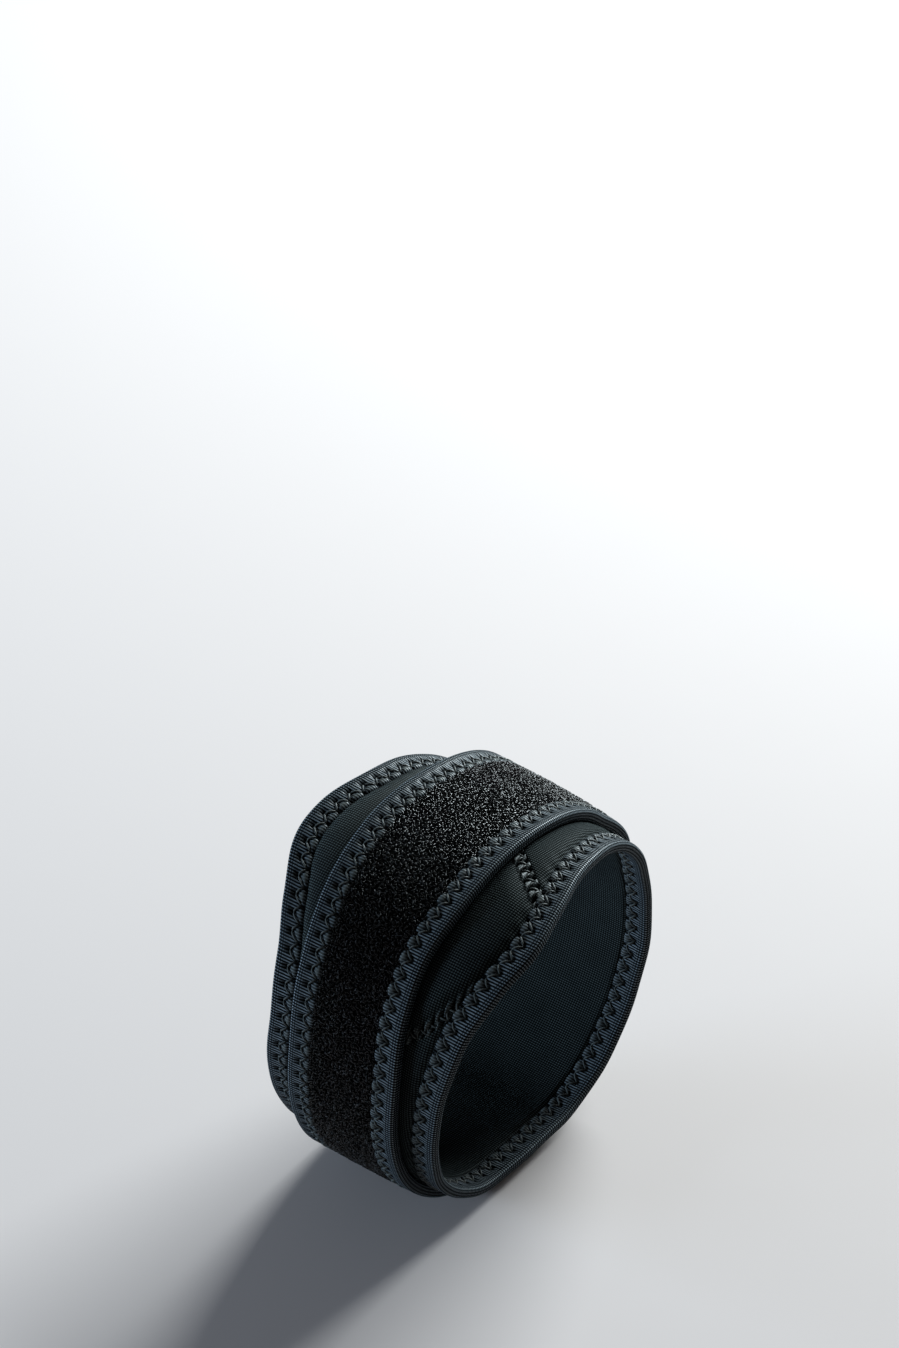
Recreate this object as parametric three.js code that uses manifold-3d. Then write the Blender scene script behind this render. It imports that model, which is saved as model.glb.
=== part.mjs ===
// Elbow support: a contoured padded band for the forearm with a loop-faced strap wrapped over it.
// Millimetres, Z up. X runs along the forearm with plus X towards the wrist, and the support lies on
// its side. The origin is the middle of the flat on the strap's underside, where it rests.
import * as THREE from 'three';
import { mergeVertices } from 'three/addons/utils/BufferGeometryUtils.js';
import Module from 'manifold-3d';

// Girth: the band's outer face is a round hoop, settled flat where it rests
const BAND_RADIUS = 52;
const FLAT_HALF_WIDTH = 13;
const CORNER_RADIUS = 27;

// Cloth
const BAND_THICKNESS = 3;
const BAND_SECTION_WIDTH = 60;
const STRAP_WIDTH = 35;
const STRAP_THICKNESS = 3.4;
const CLEARANCE = 0.3;

// Ribbed tape folded over every edge, and the cloth pressed thin inside it
const TAPE_THICKNESS = 0.75;
const TAPE_COVER = 6.6;
const TAPE_LIP = 1;
const TAPE_ROUNDING = 0.9;
const FOLD_GAP = 0.25;
const STRAP_TAPE_RECESS = 0.1;
const PRESSED_MARGIN = 7;
const PRESSED_STEP = 0.6;

// Strap route in degrees of turn: sewn start at the back, once round, over its own start, free tab
const STRAP_START = 256;
const STRAP_END = 680;
const TAB_CORNER_RADIUS = 8;
const TAB_CORNER_STEPS = 5;

// Turns between which each edge of the strap rises off the band to lie over the strap's own start
const STRAP_LIFT = {
  proximal: { from: 545, to: 602 },
  distal: { from: 586, to: 611 },
};

// Pad panel
const PAD_CROWN = 1.2;
const PAD_FADE = 9;
const PAD_SEAM_GAP = 0.6;
const PAD_SWEEP_START = 100;
const PAD_SWEEP_END = 190;

// Mesh fineness
const RING_STEPS = 72;
const STRAP_STEPS = 64;
const PAD_STEPS = 18;
const PAD_COLUMNS = 9;
const WELD = 1e-3;

// Edges round the girth. Turn 0 is underneath, 90 the front, 180 the top and 270 the back.
// Proximal, distal and strap are places along X of the band's two edges and the strap's middle, and
// widening is how much further than half its width the strap reaches to each side.
const EDGES = [
  { turn: 0, proximal: -25.0, distal: 26.0, strap: 0.0, widening: 0 },
  { turn: 40, proximal: -24.8, distal: 27.4, strap: 1.2, widening: 0 },
  { turn: 80, proximal: -22.9, distal: 32.2, strap: 4.4, widening: 0 },
  { turn: 100, proximal: -22.1, distal: 35.0, strap: 5.2, widening: 0 },
  { turn: 120, proximal: -24.2, distal: 37.5, strap: 3.5, widening: 0 },
  { turn: 135, proximal: -28.8, distal: 40.8, strap: 1.9, widening: 0.5 },
  { turn: 150, proximal: -34.1, distal: 43.4, strap: 1.5, widening: 1.8 },
  { turn: 165, proximal: -35.2, distal: 42.4, strap: 1.4, widening: 2.4 },
  { turn: 180, proximal: -33.2, distal: 39.3, strap: 1.4, widening: 2.5 },
  { turn: 200, proximal: -31.8, distal: 35.0, strap: 0.8, widening: 2.3 },
  { turn: 240, proximal: -28.0, distal: 28.8, strap: -2.5, widening: 1.5 },
  { turn: 280, proximal: -25.6, distal: 26.6, strap: -3.0, widening: 0.5 },
  { turn: 320, proximal: -25.1, distal: 26.0, strap: -1.0, widening: 0 },
];

// Outline of the pad panel: turns of its lower and upper seams at places along X. Its inner rows
// lie under the strap and its outer rows inside the band's binding.
const PAD_SEAMS = [
  { along: 4, lower: 109, upper: 183 },
  { along: 18, lower: 112, upper: 181 },
  { along: 26, lower: 118, upper: 174.5 },
  { along: 32, lower: 129, upper: 169.5 },
  { along: 37, lower: 140, upper: 165.5 },
  { along: 48, lower: 146, upper: 160 },
];

const FINISHES = {
  jersey: { color: 0x17191b, roughness: 0.85, metalness: 0 },
  binding: { color: 0x2b2f36, roughness: 0.6, metalness: 0 },
  pile: { color: 0x121314, roughness: 0.95, metalness: 0 },
};

const strapOuter = CLEARANCE + STRAP_THICKNESS;
const cornerDrop = Math.sqrt((BAND_RADIUS - CORNER_RADIUS) ** 2 - FLAT_HALF_WIDTH ** 2);
const flatDrop = CORNER_RADIUS + cornerDrop;
const axisHeight = flatDrop + strapOuter;
const bandMiddle = -BAND_THICKNESS / 2;
const fullColumn = PRESSED_MARGIN + PRESSED_STEP;

const { radToDeg, euclideanModulo, lerp, clamp, smoothstep } = THREE.MathUtils;
const manifold = await Module();
manifold.setup();

const girth = girthPath();
const millimetresPerDegree = girth.getLength() / 360;

// Section of the band's outer face seen along the forearm (Y across, Z up), from the middle of the
// flat up the front, over the top and down the back.
function girthPath() {
  const down = -Math.PI / 2;
  const cornerSweep = Math.atan2(FLAT_HALF_WIDTH, cornerDrop);
  const path = new THREE.Path();
  path.moveTo(0, -flatDrop);
  path.lineTo(-FLAT_HALF_WIDTH, -flatDrop);
  path.absarc(-FLAT_HALF_WIDTH, -cornerDrop, CORNER_RADIUS, down, down - cornerSweep, true);
  path.absarc(0, 0, BAND_RADIUS, down - cornerSweep, down + cornerSweep, true);
  path.absarc(FLAT_HALF_WIDTH, -cornerDrop, CORNER_RADIUS, down + cornerSweep, down, true);
  path.lineTo(0, -flatDrop);
  return path;
}

// The point at a turn round the girth, a place along X and an offset out of the band's outer face.
function wrap(turn, along, offset) {
  const share = euclideanModulo(turn, 360) / 360;
  const point = girth.getPoint(share);
  const tangent = girth.getTangent(share);
  return new THREE.Vector3(
    along,
    point.x - tangent.y * offset,
    axisHeight + point.y + tangent.x * offset,
  );
}

// One column of EDGES at any turn, on a smooth closed curve through its rows.
function edgeAt(column, turn) {
  const count = EDGES.length;
  const at = euclideanModulo(turn, 360);
  const first = EDGES.findLastIndex((row) => row.turn <= at);
  const row = (index) => EDGES[euclideanModulo(index, count)];
  const turnOf = (index) => row(index).turn + 360 * Math.floor(index / count);
  const slope = (index) =>
    (row(index + 1)[column] - row(index - 1)[column]) / (turnOf(index + 1) - turnOf(index - 1));
  const span = turnOf(first + 1) - turnOf(first);
  const t = (at - turnOf(first)) / span;
  const start = row(first)[column];
  const rise = row(first + 1)[column] - start;
  const startSlope = slope(first) * span;
  const endSlope = slope(first + 1) * span;
  return start + t * (startSlope + t * (3 * rise - 2 * startSlope - endSlope
    + t * (startSlope + endSlope - 2 * rise)));
}

// One column of PAD_SEAMS at a place along X, on straight lines between its rows.
function padSeamAt(column, along) {
  const last = PAD_SEAMS.length - 2;
  const found = PAD_SEAMS.findLastIndex((row) => row.along <= along);
  const index = clamp(found, 0, last);
  const from = PAD_SEAMS[index];
  const to = PAD_SEAMS[index + 1];
  const share = clamp((along - from.along) / (to.along - from.along), 0, 1);
  return lerp(from[column], to[column], share);
}

// Moves every vertex of a geometry and leaves one closed mesh with its faces pointing out.
function warp(geometry, place) {
  geometry.deleteAttribute('normal');
  geometry.deleteAttribute('uv');
  const positions = geometry.getAttribute('position');
  for (let i = 0; i < positions.count; i += 1) {
    const moved = place(positions.getX(i), positions.getY(i), positions.getZ(i));
    positions.setXYZ(i, moved.x, moved.y, moved.z);
  }
  const closed = dropEmptyTriangles(mergeVertices(geometry, WELD));
  return signedVolume(closed) < 0 ? turnInsideOut(closed) : closed;
}

function trianglesOf(geometry) {
  const index = geometry.getIndex().array;
  return Array.from({ length: index.length / 3 }, (_, i) => index.slice(3 * i, 3 * i + 3));
}

function dropEmptyTriangles(geometry) {
  const kept = trianglesOf(geometry).filter(([a, b, c]) => a !== b && b !== c && c !== a);
  geometry.setIndex(kept.flatMap((triangle) => [...triangle]));
  return geometry;
}

function turnInsideOut(geometry) {
  geometry.setIndex(trianglesOf(geometry).flatMap(([a, b, c]) => [a, c, b]));
  return geometry;
}

function signedVolume(geometry) {
  const positions = geometry.getAttribute('position');
  const corner = (i) => new THREE.Vector3().fromBufferAttribute(positions, i);
  return trianglesOf(geometry).reduce(
    (sum, [a, b, c]) => sum + corner(a).dot(corner(b).cross(corner(c))) / 6,
    0,
  );
}

// A closed section carried round the whole girth. Its points are [across, offset].
function ring(section, place) {
  const points = [...section, section[0]].map(
    ([across, offset]) => new THREE.Vector2(BAND_RADIUS + offset, across),
  );
  return warp(new THREE.LatheGeometry(points, RING_STEPS), (x, y, z) =>
    place(radToDeg(Math.atan2(x, z)), y, Math.hypot(x, z) - BAND_RADIUS));
}

// A closed section carried from station to station, with flat ends. Its points are [across, offset].
function sweep(section, stations, place) {
  const last = stations.length - 1;
  const shape = new THREE.Shape(section.map(([across, offset]) => new THREE.Vector2(across, offset)));
  const options = { depth: last, steps: last, bevelEnabled: false };
  return warp(new THREE.ExtrudeGeometry(shape, options), (x, y, z) =>
    place(stations[Math.round(z)], x, y));
}

function toManifold(geometry) {
  return new manifold.Manifold(new manifold.Mesh({
    numProp: 3,
    vertProperties: new Float32Array(geometry.getAttribute('position').array),
    triVerts: new Uint32Array(geometry.getIndex().array),
  }));
}

function fromManifold(solid) {
  const mesh = solid.getMesh();
  const geometry = new THREE.BufferGeometry();
  geometry.setAttribute('position', new THREE.Float32BufferAttribute(mesh.vertProperties, 3));
  geometry.setIndex([...mesh.triVerts]);
  return geometry;
}

// Section of the band, [across, offset]: full in the middle, pressed thin along both edges.
function bandSection(middleColumns) {
  const pressedHalf = BAND_THICKNESS / 2 - TAPE_THICKNESS - FOLD_GAP;
  const edgeColumn = TAPE_LIP + CLEARANCE;
  const mirrored = (column) => BAND_SECTION_WIDTH - column;
  const middle = Array.from({ length: middleColumns + 1 }, (_, i) =>
    lerp(fullColumn, mirrored(fullColumn), i / middleColumns));
  const columns = [
    { across: edgeColumn, half: pressedHalf },
    { across: PRESSED_MARGIN, half: pressedHalf },
    ...middle.map((across) => ({ across, half: BAND_THICKNESS / 2 })),
    { across: mirrored(PRESSED_MARGIN), half: pressedHalf },
    { across: mirrored(edgeColumn), half: pressedHalf },
  ];
  const outer = columns.map(({ across, half }) => [across, bandMiddle + half]);
  const inner = columns.map(({ across, half }) => [across, bandMiddle - half]).reverse();
  return [...outer, ...inner];
}

// Place along X of a column of the band's section: the margins keep their width, the middle stretches.
function bandAlong(column, turn) {
  const proximal = edgeAt('proximal', turn);
  const distal = edgeAt('distal', turn);
  const fromDistal = BAND_SECTION_WIDTH - column;
  if (column <= fullColumn) return proximal + column;
  if (fromDistal <= fullColumn) return distal - fromDistal;
  const share = (column - fullColumn) / (BAND_SECTION_WIDTH - 2 * fullColumn);
  return lerp(proximal + fullColumn, distal - fullColumn, share);
}

function bandRing() {
  return ring(bandSection(1), (turn, column, offset) => wrap(turn, bandAlong(column, turn), offset));
}

// Height of the pad's crown, between the strap's edge and the binding and inside the two seams.
function padCrown(turn, along) {
  const from = strapAlong(turn, STRAP_WIDTH / 2) + CLEARANCE;
  const to = edgeAt('distal', turn) - fullColumn;
  const across = Math.sin(Math.PI * clamp((along - from) / (to - from), 0, 1));
  const fromSeam = Math.min(
    turn - padSeamAt('lower', along),
    padSeamAt('upper', along) - turn,
  );
  return PAD_CROWN * across * smoothstep(fromSeam, 0, PAD_FADE);
}

function crownedStretch() {
  const turns = Array.from({ length: PAD_STEPS + 1 }, (_, i) =>
    lerp(PAD_SWEEP_START, PAD_SWEEP_END, i / PAD_STEPS));
  return sweep(bandSection(PAD_COLUMNS), turns, (turn, column, offset) => {
    const along = bandAlong(column, turn);
    const crown = offset > bandMiddle ? padCrown(turn, along) : 0;
    return wrap(turn, along, offset + crown);
  });
}

// The space that the pad panel takes through the band, grown by a gap along its seams.
function padSpace(seamGap, innerGap) {
  const rows = PAD_SEAMS.length - 1;
  const reach = 2 * BAND_THICKNESS;
  const block = new THREE.BoxGeometry(1, 1, 1, PAD_STEPS, rows, 1);
  return warp(block, (x, y, z) => {
    const row = PAD_SEAMS[Math.round((y + 0.5) * rows)];
    const turn = lerp(row.lower - seamGap, row.upper + seamGap, x + 0.5);
    const along = row === PAD_SEAMS[0] ? row.along - innerGap : row.along;
    return wrap(turn, along, bandMiddle + 2 * reach * z);
  });
}

function bandBody() {
  const space = toManifold(padSpace(PAD_SEAM_GAP, CLEARANCE));
  return fromManifold(toManifold(bandRing()).subtract(space));
}

function padPanel() {
  return fromManifold(toManifold(crownedStretch()).intersect(toManifold(padSpace(0, 0))));
}

// Section of folded tape, [distance in from the lip, offset from the cloth's middle].
function tapeSection(halfThickness) {
  const outer = halfThickness;
  const inner = halfThickness - TAPE_THICKNESS;
  return [
    [TAPE_COVER, outer], [TAPE_ROUNDING, outer], [0, outer / 2],
    [0, -outer / 2], [TAPE_ROUNDING, -outer], [TAPE_COVER, -outer],
    [TAPE_COVER, -inner], [TAPE_LIP, -inner], [TAPE_LIP, inner], [TAPE_COVER, inner],
  ];
}

function bandBinding(edge, inward) {
  const section = tapeSection(BAND_THICKNESS / 2);
  return ring(section, (turn, depth, offset) =>
    wrap(turn, edgeAt(edge, turn) + inward * depth, bandMiddle + offset));
}

// Offset of the middle of the strap's thickness: flat on the band, then rising, one edge before the
// other, to lie over the strap's own start.
function strapMiddle(turn, across) {
  const share = across / STRAP_WIDTH + 0.5;
  const from = lerp(STRAP_LIFT.proximal.from, STRAP_LIFT.distal.from, share);
  const to = lerp(STRAP_LIFT.proximal.to, STRAP_LIFT.distal.to, share);
  return strapOuter * smoothstep(turn, from, to) + CLEARANCE + STRAP_THICKNESS / 2;
}

// Place along X of a point across the strap: its margins keep their width, the middle stretches.
function strapAlong(turn, across) {
  const stretch = clamp(across / (STRAP_WIDTH / 2 - fullColumn), -1, 1);
  return edgeAt('strap', turn) + across + edgeAt('widening', turn) * stretch;
}

function wrapStrap(turn, across, offset) {
  return wrap(turn, strapAlong(turn, across), strapMiddle(turn, across) + offset);
}

const tabMillimetresPerDegree =
  millimetresPerDegree * (1 + strapMiddle(STRAP_END, 0) / BAND_RADIUS);
const tabTurn = TAB_CORNER_RADIUS / tabMillimetresPerDegree;
const strapTapeHalf = STRAP_THICKNESS / 2 - STRAP_TAPE_RECESS;

function cornerAngles() {
  return Array.from({ length: TAB_CORNER_STEPS }, (_, i) =>
    ((i + 1) / TAB_CORNER_STEPS) * (Math.PI / 2));
}

function straightTurns() {
  return Array.from({ length: STRAP_STEPS + 1 }, (_, i) =>
    lerp(STRAP_START, STRAP_END - tabTurn, i / STRAP_STEPS));
}

// The strap is a flat block wrapped round the band: full in the middle, pressed thin along both
// edges and over the rounded end of the tab.
function strapBody() {
  const edge = TAPE_LIP + CLEARANCE;
  const halfWidth = STRAP_WIDTH / 2;
  const cornerRadius = TAB_CORNER_RADIUS - edge;
  const pressedHalf = strapTapeHalf - TAPE_THICKNESS - FOLD_GAP;
  const straight = straightTurns();
  const lastFull = straight.length - 2;
  const rows = [
    ...straight.map((turn, i) => ({ turn, half: halfWidth - edge, pressed: i > lastFull })),
    ...cornerAngles().map((angle) => ({
      turn: STRAP_END - tabTurn + (cornerRadius * Math.sin(angle)) / tabMillimetresPerDegree,
      half: halfWidth - edge - cornerRadius * (1 - Math.cos(angle)),
      pressed: true,
    })),
  ];
  const columns = [edge, PRESSED_MARGIN, fullColumn].map((depth) => halfWidth - depth);
  const shares = [...columns.map((across) => -across), ...columns.reverse()].map(
    (across) => across / (halfWidth - edge),
  );
  const fullShare = (halfWidth - fullColumn) / (halfWidth - edge);
  const block = new THREE.BoxGeometry(1, 1, 1, rows.length - 1, shares.length - 1, 1);
  return warp(block, (x, y, z) => {
    const row = rows[Math.round((x + 0.5) * (rows.length - 1))];
    const share = shares[Math.round((y + 0.5) * (shares.length - 1))];
    const full = !row.pressed && Math.abs(share) <= fullShare;
    const half = full ? STRAP_THICKNESS / 2 : pressedHalf;
    return wrapStrap(row.turn, share * row.half, 2 * z * half);
  });
}

// The strap's binding follows its outline: one edge, round the tab, and back along the other edge.
function strapBinding() {
  const halfWidth = STRAP_WIDTH / 2;
  const cornerAcross = halfWidth - TAB_CORNER_RADIUS;
  const cornerTurn = STRAP_END - tabTurn;
  const side = (sign) => [
    ...straightTurns().map((turn) => ({ turn, across: sign * halfWidth, back: 0, inward: -sign })),
    ...cornerAngles().map((angle) => ({
      turn: cornerTurn + tabTurn * Math.sin(angle),
      across: sign * (cornerAcross + TAB_CORNER_RADIUS * Math.cos(angle)),
      back: Math.sin(angle),
      inward: -sign * Math.cos(angle),
    })),
  ];
  const outline = [...side(-1), ...side(1).reverse()];
  return sweep(tapeSection(strapTapeHalf), outline, (station, depth, offset) => wrapStrap(
    station.turn - (station.back * depth) / tabMillimetresPerDegree,
    station.across + station.inward * depth,
    offset,
  ));
}

function piece(name, geometry, finish) {
  const mesh = new THREE.Mesh(geometry, new THREE.MeshStandardMaterial(finish));
  mesh.name = name;
  return mesh;
}

const support = new THREE.Group();
support.name = 'elbow_support';
support.add(
  piece('band_body', bandBody(), FINISHES.jersey),
  piece('pad_panel', padPanel(), FINISHES.jersey),
  piece('band_binding_distal', bandBinding('distal', -1), FINISHES.binding),
  piece('band_binding_proximal', bandBinding('proximal', 1), FINISHES.binding),
  piece('strap_body', strapBody(), FINISHES.pile),
  piece('strap_binding', strapBinding(), FINISHES.binding),
);

export default support;
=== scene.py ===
"""Elbow support: a padded forearm band with a loop-faced strap wrapped over it.

The band, pad, bindings and strap are cut as flat patterns and wrapped round one hoop, in the frame
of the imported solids. Lengths inside the shape functions are millimetres, and turns are degrees:
0 underneath, 90 the front, 180 the top and 270 the back.
"""

import math

import bmesh
import bpy
import numpy as np
from bpy.props import FloatProperty, FloatVectorProperty, IntProperty, PointerProperty
from bpy.types import Operator, Panel, PropertyGroup
from mathutils import Matrix, Vector


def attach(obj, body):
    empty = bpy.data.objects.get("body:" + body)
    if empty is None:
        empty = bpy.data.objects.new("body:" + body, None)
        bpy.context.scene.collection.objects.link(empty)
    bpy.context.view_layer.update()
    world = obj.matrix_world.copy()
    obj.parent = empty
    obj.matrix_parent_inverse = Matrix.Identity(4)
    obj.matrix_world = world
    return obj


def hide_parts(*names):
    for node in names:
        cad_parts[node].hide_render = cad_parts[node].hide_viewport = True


bl_info = {
    "name": "Elbow Support",
    "version": (1, 0, 0),
    "blender": (4, 5, 0),
    "location": "View3D > Sidebar > Elbow Support",
    "description": "Dresses a forearm support: band, pad, bindings, loop strap, stitches and stage",
    "category": "Object",
}

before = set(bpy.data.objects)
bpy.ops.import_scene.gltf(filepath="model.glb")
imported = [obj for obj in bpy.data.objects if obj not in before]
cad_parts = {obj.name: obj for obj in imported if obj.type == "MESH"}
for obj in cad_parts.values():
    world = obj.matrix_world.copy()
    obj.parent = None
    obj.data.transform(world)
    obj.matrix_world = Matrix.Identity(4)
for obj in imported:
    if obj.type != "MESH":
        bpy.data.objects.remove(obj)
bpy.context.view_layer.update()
MM = 0.001
UV_UNIT = 10.0
PATTERN = "flat_pattern"

# Places along X, in millimetres, of the band's two edges and of the strap's middle, at turns round
# the hoop, and how much the strap's middle is stretched there on each side.
EDGE_COLUMNS = ("turn", "proximal", "distal", "strap", "widening")
EDGES = (
    (0, -25.0, 26.0, 0.0, 0.0),
    (40, -24.8, 27.4, 1.2, 0.0),
    (80, -22.9, 32.2, 4.4, 0.0),
    (100, -22.1, 35.0, 5.2, 0.0),
    (120, -24.2, 37.5, 3.5, 0.0),
    (135, -28.8, 40.8, 1.9, 0.5),
    (150, -34.1, 43.4, 1.5, 1.8),
    (165, -35.2, 42.4, 1.4, 2.4),
    (180, -33.2, 39.3, 1.4, 2.5),
    (200, -31.8, 35.0, 0.8, 2.3),
    (240, -28.0, 28.8, -2.5, 1.5),
    (280, -25.6, 26.6, -3.0, 0.5),
    (320, -25.1, 26.0, -1.0, 0.0),
)

# The way along X from each of the band's edges into its cloth.
INWARD = {"distal": -1, "proximal": 1}

# Turns of the pad's lower and upper seams, at places along X in millimetres.
SEAM_COLUMNS = ("along", "lower", "upper")
PAD_SEAMS = (
    (4, 109, 183),
    (18, 112, 181),
    (26, 118, 174.5),
    (32, 129, 169.5),
    (37, 140, 165.5),
    (48, 146, 160),
)

SEAMS = SEAM_COLUMNS[1:]

# Where a seam's line is followed, in how many steps, and where its marks begin, along X in
# millimetres, and how far its stitches run on under the tape.
SEAM_SPAN = (14, 40)
SEAM_STEPS = 400
SEAM_START = (10, 16)
SEAM_UNDER_TAPE = 0.3

# Slow unevenness of a cloth edge: how many waves round the hoop, their height in millimetres and
# their phase. The band's edges differ in phase, and the strap takes up a share of it, drawn out.
EDGE_WAVES = ((5, 0.20, 1.0), (9, 0.14, 2.1), (17, 0.09, 0.4))
EDGE_PHASES = {"proximal": 2.6, "distal": 0.0}
STRAP_WAVE_SHARE = 0.6
STRAP_WAVE_LENGTH = 0.7
STRAP_WAVE_PHASE = 0.5

# Degrees from the lowest point between which the strap comes clear of the floor.
FLOOR_TURNS = (24, 48)

# Folded tape, in millimetres: the radius of its lip, how far stitches press it and at which depths,
# its wall, where its fold begins, and how far it stands proud of the band or short of the pile.
LIP_CORNER = 1.0
TAPE_PRESS = 0.3
PRESS_DEPTHS = (2.2, 4.6)
TAPE_WALL = 0.6
FOLD_DEPTH = 1.2
TAPE_PROUD = 0.05

# Rows of the tape's section: outer and inner face, corner of the lip and the lip's side.
OUTER_ROWS = 20
INNER_ROWS = 10
CORNER_ROWS = 7
SIDE_ROWS = 4

# Depths at which the lip's lines and the painted shade on its side face fade out, how dark that
# painted shade is, and the reach of the painted highlight along its crease.
LIP_FADE = (1.6, 3.2)
SIDE_FADE = (0.0, 0.4)
SIDE_PAINTED_SHADE = 0.25
CREASE_REACH = 0.8

# How far the puffs of stitched tape differ from each other, and the start of those random draws.
PUFF_RANGE = (0.4, 1.3)
PUFF_SEED = 11

# Marks of a zigzag: how high each stands in millimetres, and how dark it is painted. That darkness
# is painted shade in needle holes, slits and grooves, and in the hollow past the tape's end it is
# painted shade and the dark of the cloth beneath.
TAPE_HEIGHTS = {
    "puff": 0.34,
    "pillow": 0.12,
    "hollow": -0.45,
    "groove": -0.15,
    "pit": -0.75,
    "slit": -0.4,
}
TAPE_DARKNESS = {"pit": 0.98, "slit": 0.85, "hollow": 0.8, "groove": 0.55}
SEAM_HEIGHTS = {"puff": 0.7, "groove": -0.2, "pit": -0.8, "press": -0.3}
SEAM_PAINTED_SHADE = {"pit": 0.97, "groove": 0.7}

# Reaches of those marks, in millimetres past the thread, the tape's end or the edge of the row, or
# about a needle or the thread.
ROW_FADE = (-1.2, 0.4)
PUFF_PAST_THREAD = (0.3, 1.0)
PUFF_TO_END = (-0.1, 0.8)
PILLOW_BEFORE_THREAD = 0.9
PILLOW_REACH = 0.7
HOLLOW_PAST_END = (-0.15, 0.3)
GROOVE_PAST_THREAD = 0.15
GROOVE_REACH = 0.5
PIT_REACH = 1.1
SLIT_REACH = 0.4
SCALLOP_START = 0.1
SCALLOP_DEPTH = 1.0
SEAM_FADE = (0.1, 1.1)
SEAM_PUFF = (0.1, 0.7)
SEAM_GROOVE_REACH = 0.45
SEAM_PIT_REACH = 0.9
SEAM_PRESS_REACH = 2.6

# Masks that the shapes give their materials. Dark is painted shade, with the dark cloth under the
# tape's scallops; crease is a painted highlight; light is the tape's pale puffs, and on the knit it
# is painted light and painted highlights.
TAPE_MASKS = ("dark", "lip", "crease", "light")
JERSEY_MASKS = ("dark", "light")

# Meshes of the band: depths of the rows along its edges, stretches of (from, to, steps) for the
# shares of its outer face, the turns of its columns and the shares of the pad, and how many rows its
# inner face and how many columns its tapes have.
MARGIN_DEPTHS = (3.0, 6.0, 6.7, 7.1, 7.5, 8.0, 8.6, 9.2)
BAND_SHARES = ((0, 0.33, 23), (0.33, 0.62, 8), (0.62, 1, 39))
BAND_INNER_ROWS = 28
BAND_TURNS = ((0, 100, 105), (100, 195, 155), (195, 360, 175))
PAD_SHARES = ((0, 0.33, 8), (0.33, 1, 75))
BAND_TAPE_COLUMNS = 880

# Cloth inside a binding: half its thickness there, and the depths between which it becomes full
# and takes up its relief.
BAND_PRESSED_HALF = 0.4
STRAP_PRESSED_HALF = 0.45
FULL_DEPTHS = (6.0, 8.2)
RELIEF_DEPTHS = (6.4, 7.8)

# Cloth beside a binding: how far it is pressed and puckered, in millimetres, how it arches between
# the binding and the strap, as a share of that width, how far the arch laps under the strap and the
# least width that it is worked out for.
TAPE_DIP = 0.45
TAPE_DIP_REACH = 1.0
PUCKER = 0.12
PUCKER_REACH = 1.8
CROWN_SHARES = {"proximal": 0.07, "distal": 0.06}
CROWN_LAP = 1.0
NARROWEST_CROWN = 0.1

# The pad, in millimetres: the bed that the band leaves for it, its fine margins, how far it stays
# from the band's edge inside the tape, how its crown rises from its seams, the turn and the rounds
# with which its outline is found, how deep its hem is pressed, and how it thins under the strap and
# in the tape.
PAD_BED = 1.7
PAD_BED_EASE = (0.6, 1.8)
PAD_MARGIN = 6.5
PAD_MARGIN_ROWS = 28
PAD_MIDDLE_ROWS = 56
PAD_TUCK = 4.2
PAD_RISE = (0, 9)
PAD_MIDDLE_TURN = 150.0
PAD_ROUNDS = 12
CROWN_FULLNESS = 0.8
HEM_PRESS = 0.5
HEM_REACH = 0.5
STRAP_DENT = 0.25
STRAP_DENT_EASE = (-2, 1)
IN_TAPE_EASE = (-0.4, 0.6)
IN_TAPE_TOP = -0.9
IN_TAPE_RISE = 0.4
PAD_LOWEST = -1.4
PAD_UNDERSIDE = -1.5
PAD_THINNEST = 0.1

# Painted light that makes the band's outer face paler on the strap's proximal side: how much, and
# the reach in millimetres over which it rises from the strap's edge. Then the shift that keeps the
# pattern of an inner face off the outer one's.
PAINTED_LIGHT_SHARE = 0.2
PAINTED_LIGHT_REACH = 3
INNER_SHIFT = 200

# The strap's ground cloth, in millimetres: how far inside the binding it ends, its face and its
# crown, with the rows and columns of its mesh.
STRAP_LIP = 3.0
GROUND_TOP = 0.95
GROUND_CROWN = 0.3
GROUND_CURVE = 1.5
STRAP_COLUMNS = 460
STRAP_CORNER_COLUMNS = 13
STRAP_OUTER_ROWS = 40
STRAP_INNER_ROWS = 20
STRAP_TAPE_STEP = 0.47

# Turns of the strap that each piece of pile covers, from just under the free tab to its end.
PILE_PARTS = {
    "strap_loops_front": (312, 434),
    "strap_loops_top": (434, 557),
    "strap_loops_back": (557, 680),
}

# Loops: how their spans and heights vary, how far they lean, how deep their feet are, how much
# lower they stand by the tape and where, how far they lap under it, how rare pale ones are, and
# their points along and round the yarn.
LOOP_SPANS = (0.7, 1.3)
LOOP_HEIGHTS = (0.65, 1.15)
LOOP_LEAN = 0.3
LOOP_FOOT = 0.08
LOOP_DROP = 0.25
LOOP_EDGE = (-0.5, 1)
LOOP_LAP = 0.1
LOOP_PALENESS = 5.0
LOOP_STEPS = 4
LOOP_SIDES = 3

# Stitches: how far and how fully a thread arches from needle to needle, how deep it dives at each
# and how deep a seam's thread lies, in millimetres, and its points along and round it.
THREAD_ARCH = 1.15
THREAD_FULLNESS = 0.6
THREAD_DIVE = 0.85
SEAM_THREAD_DEPTH = 0.3
THREAD_STEPS = 6
THREAD_SIDES = 5

# Weaves: pitch in millimetres, unevenness, and the heights that are spread from groove to thread.
# The grooves along the lip keep a little of the ribs.
WEAVES = {
    "rib": {"pitch": 0.8, "unevenness": 0.5, "heights": (0.42, 0.8)},
    "lip_line": {"pitch": 0.8, "unevenness": 0.2, "heights": (0.25, 0.65)},
    "wale": {"pitch": 0.68, "unevenness": 0.6, "heights": (0.15, 0.85)},
    "course": {"pitch": 0.74, "unevenness": 0.8, "heights": (-0.1, 0.8)},
}
LINE_GROOVE = 0.12
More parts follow.
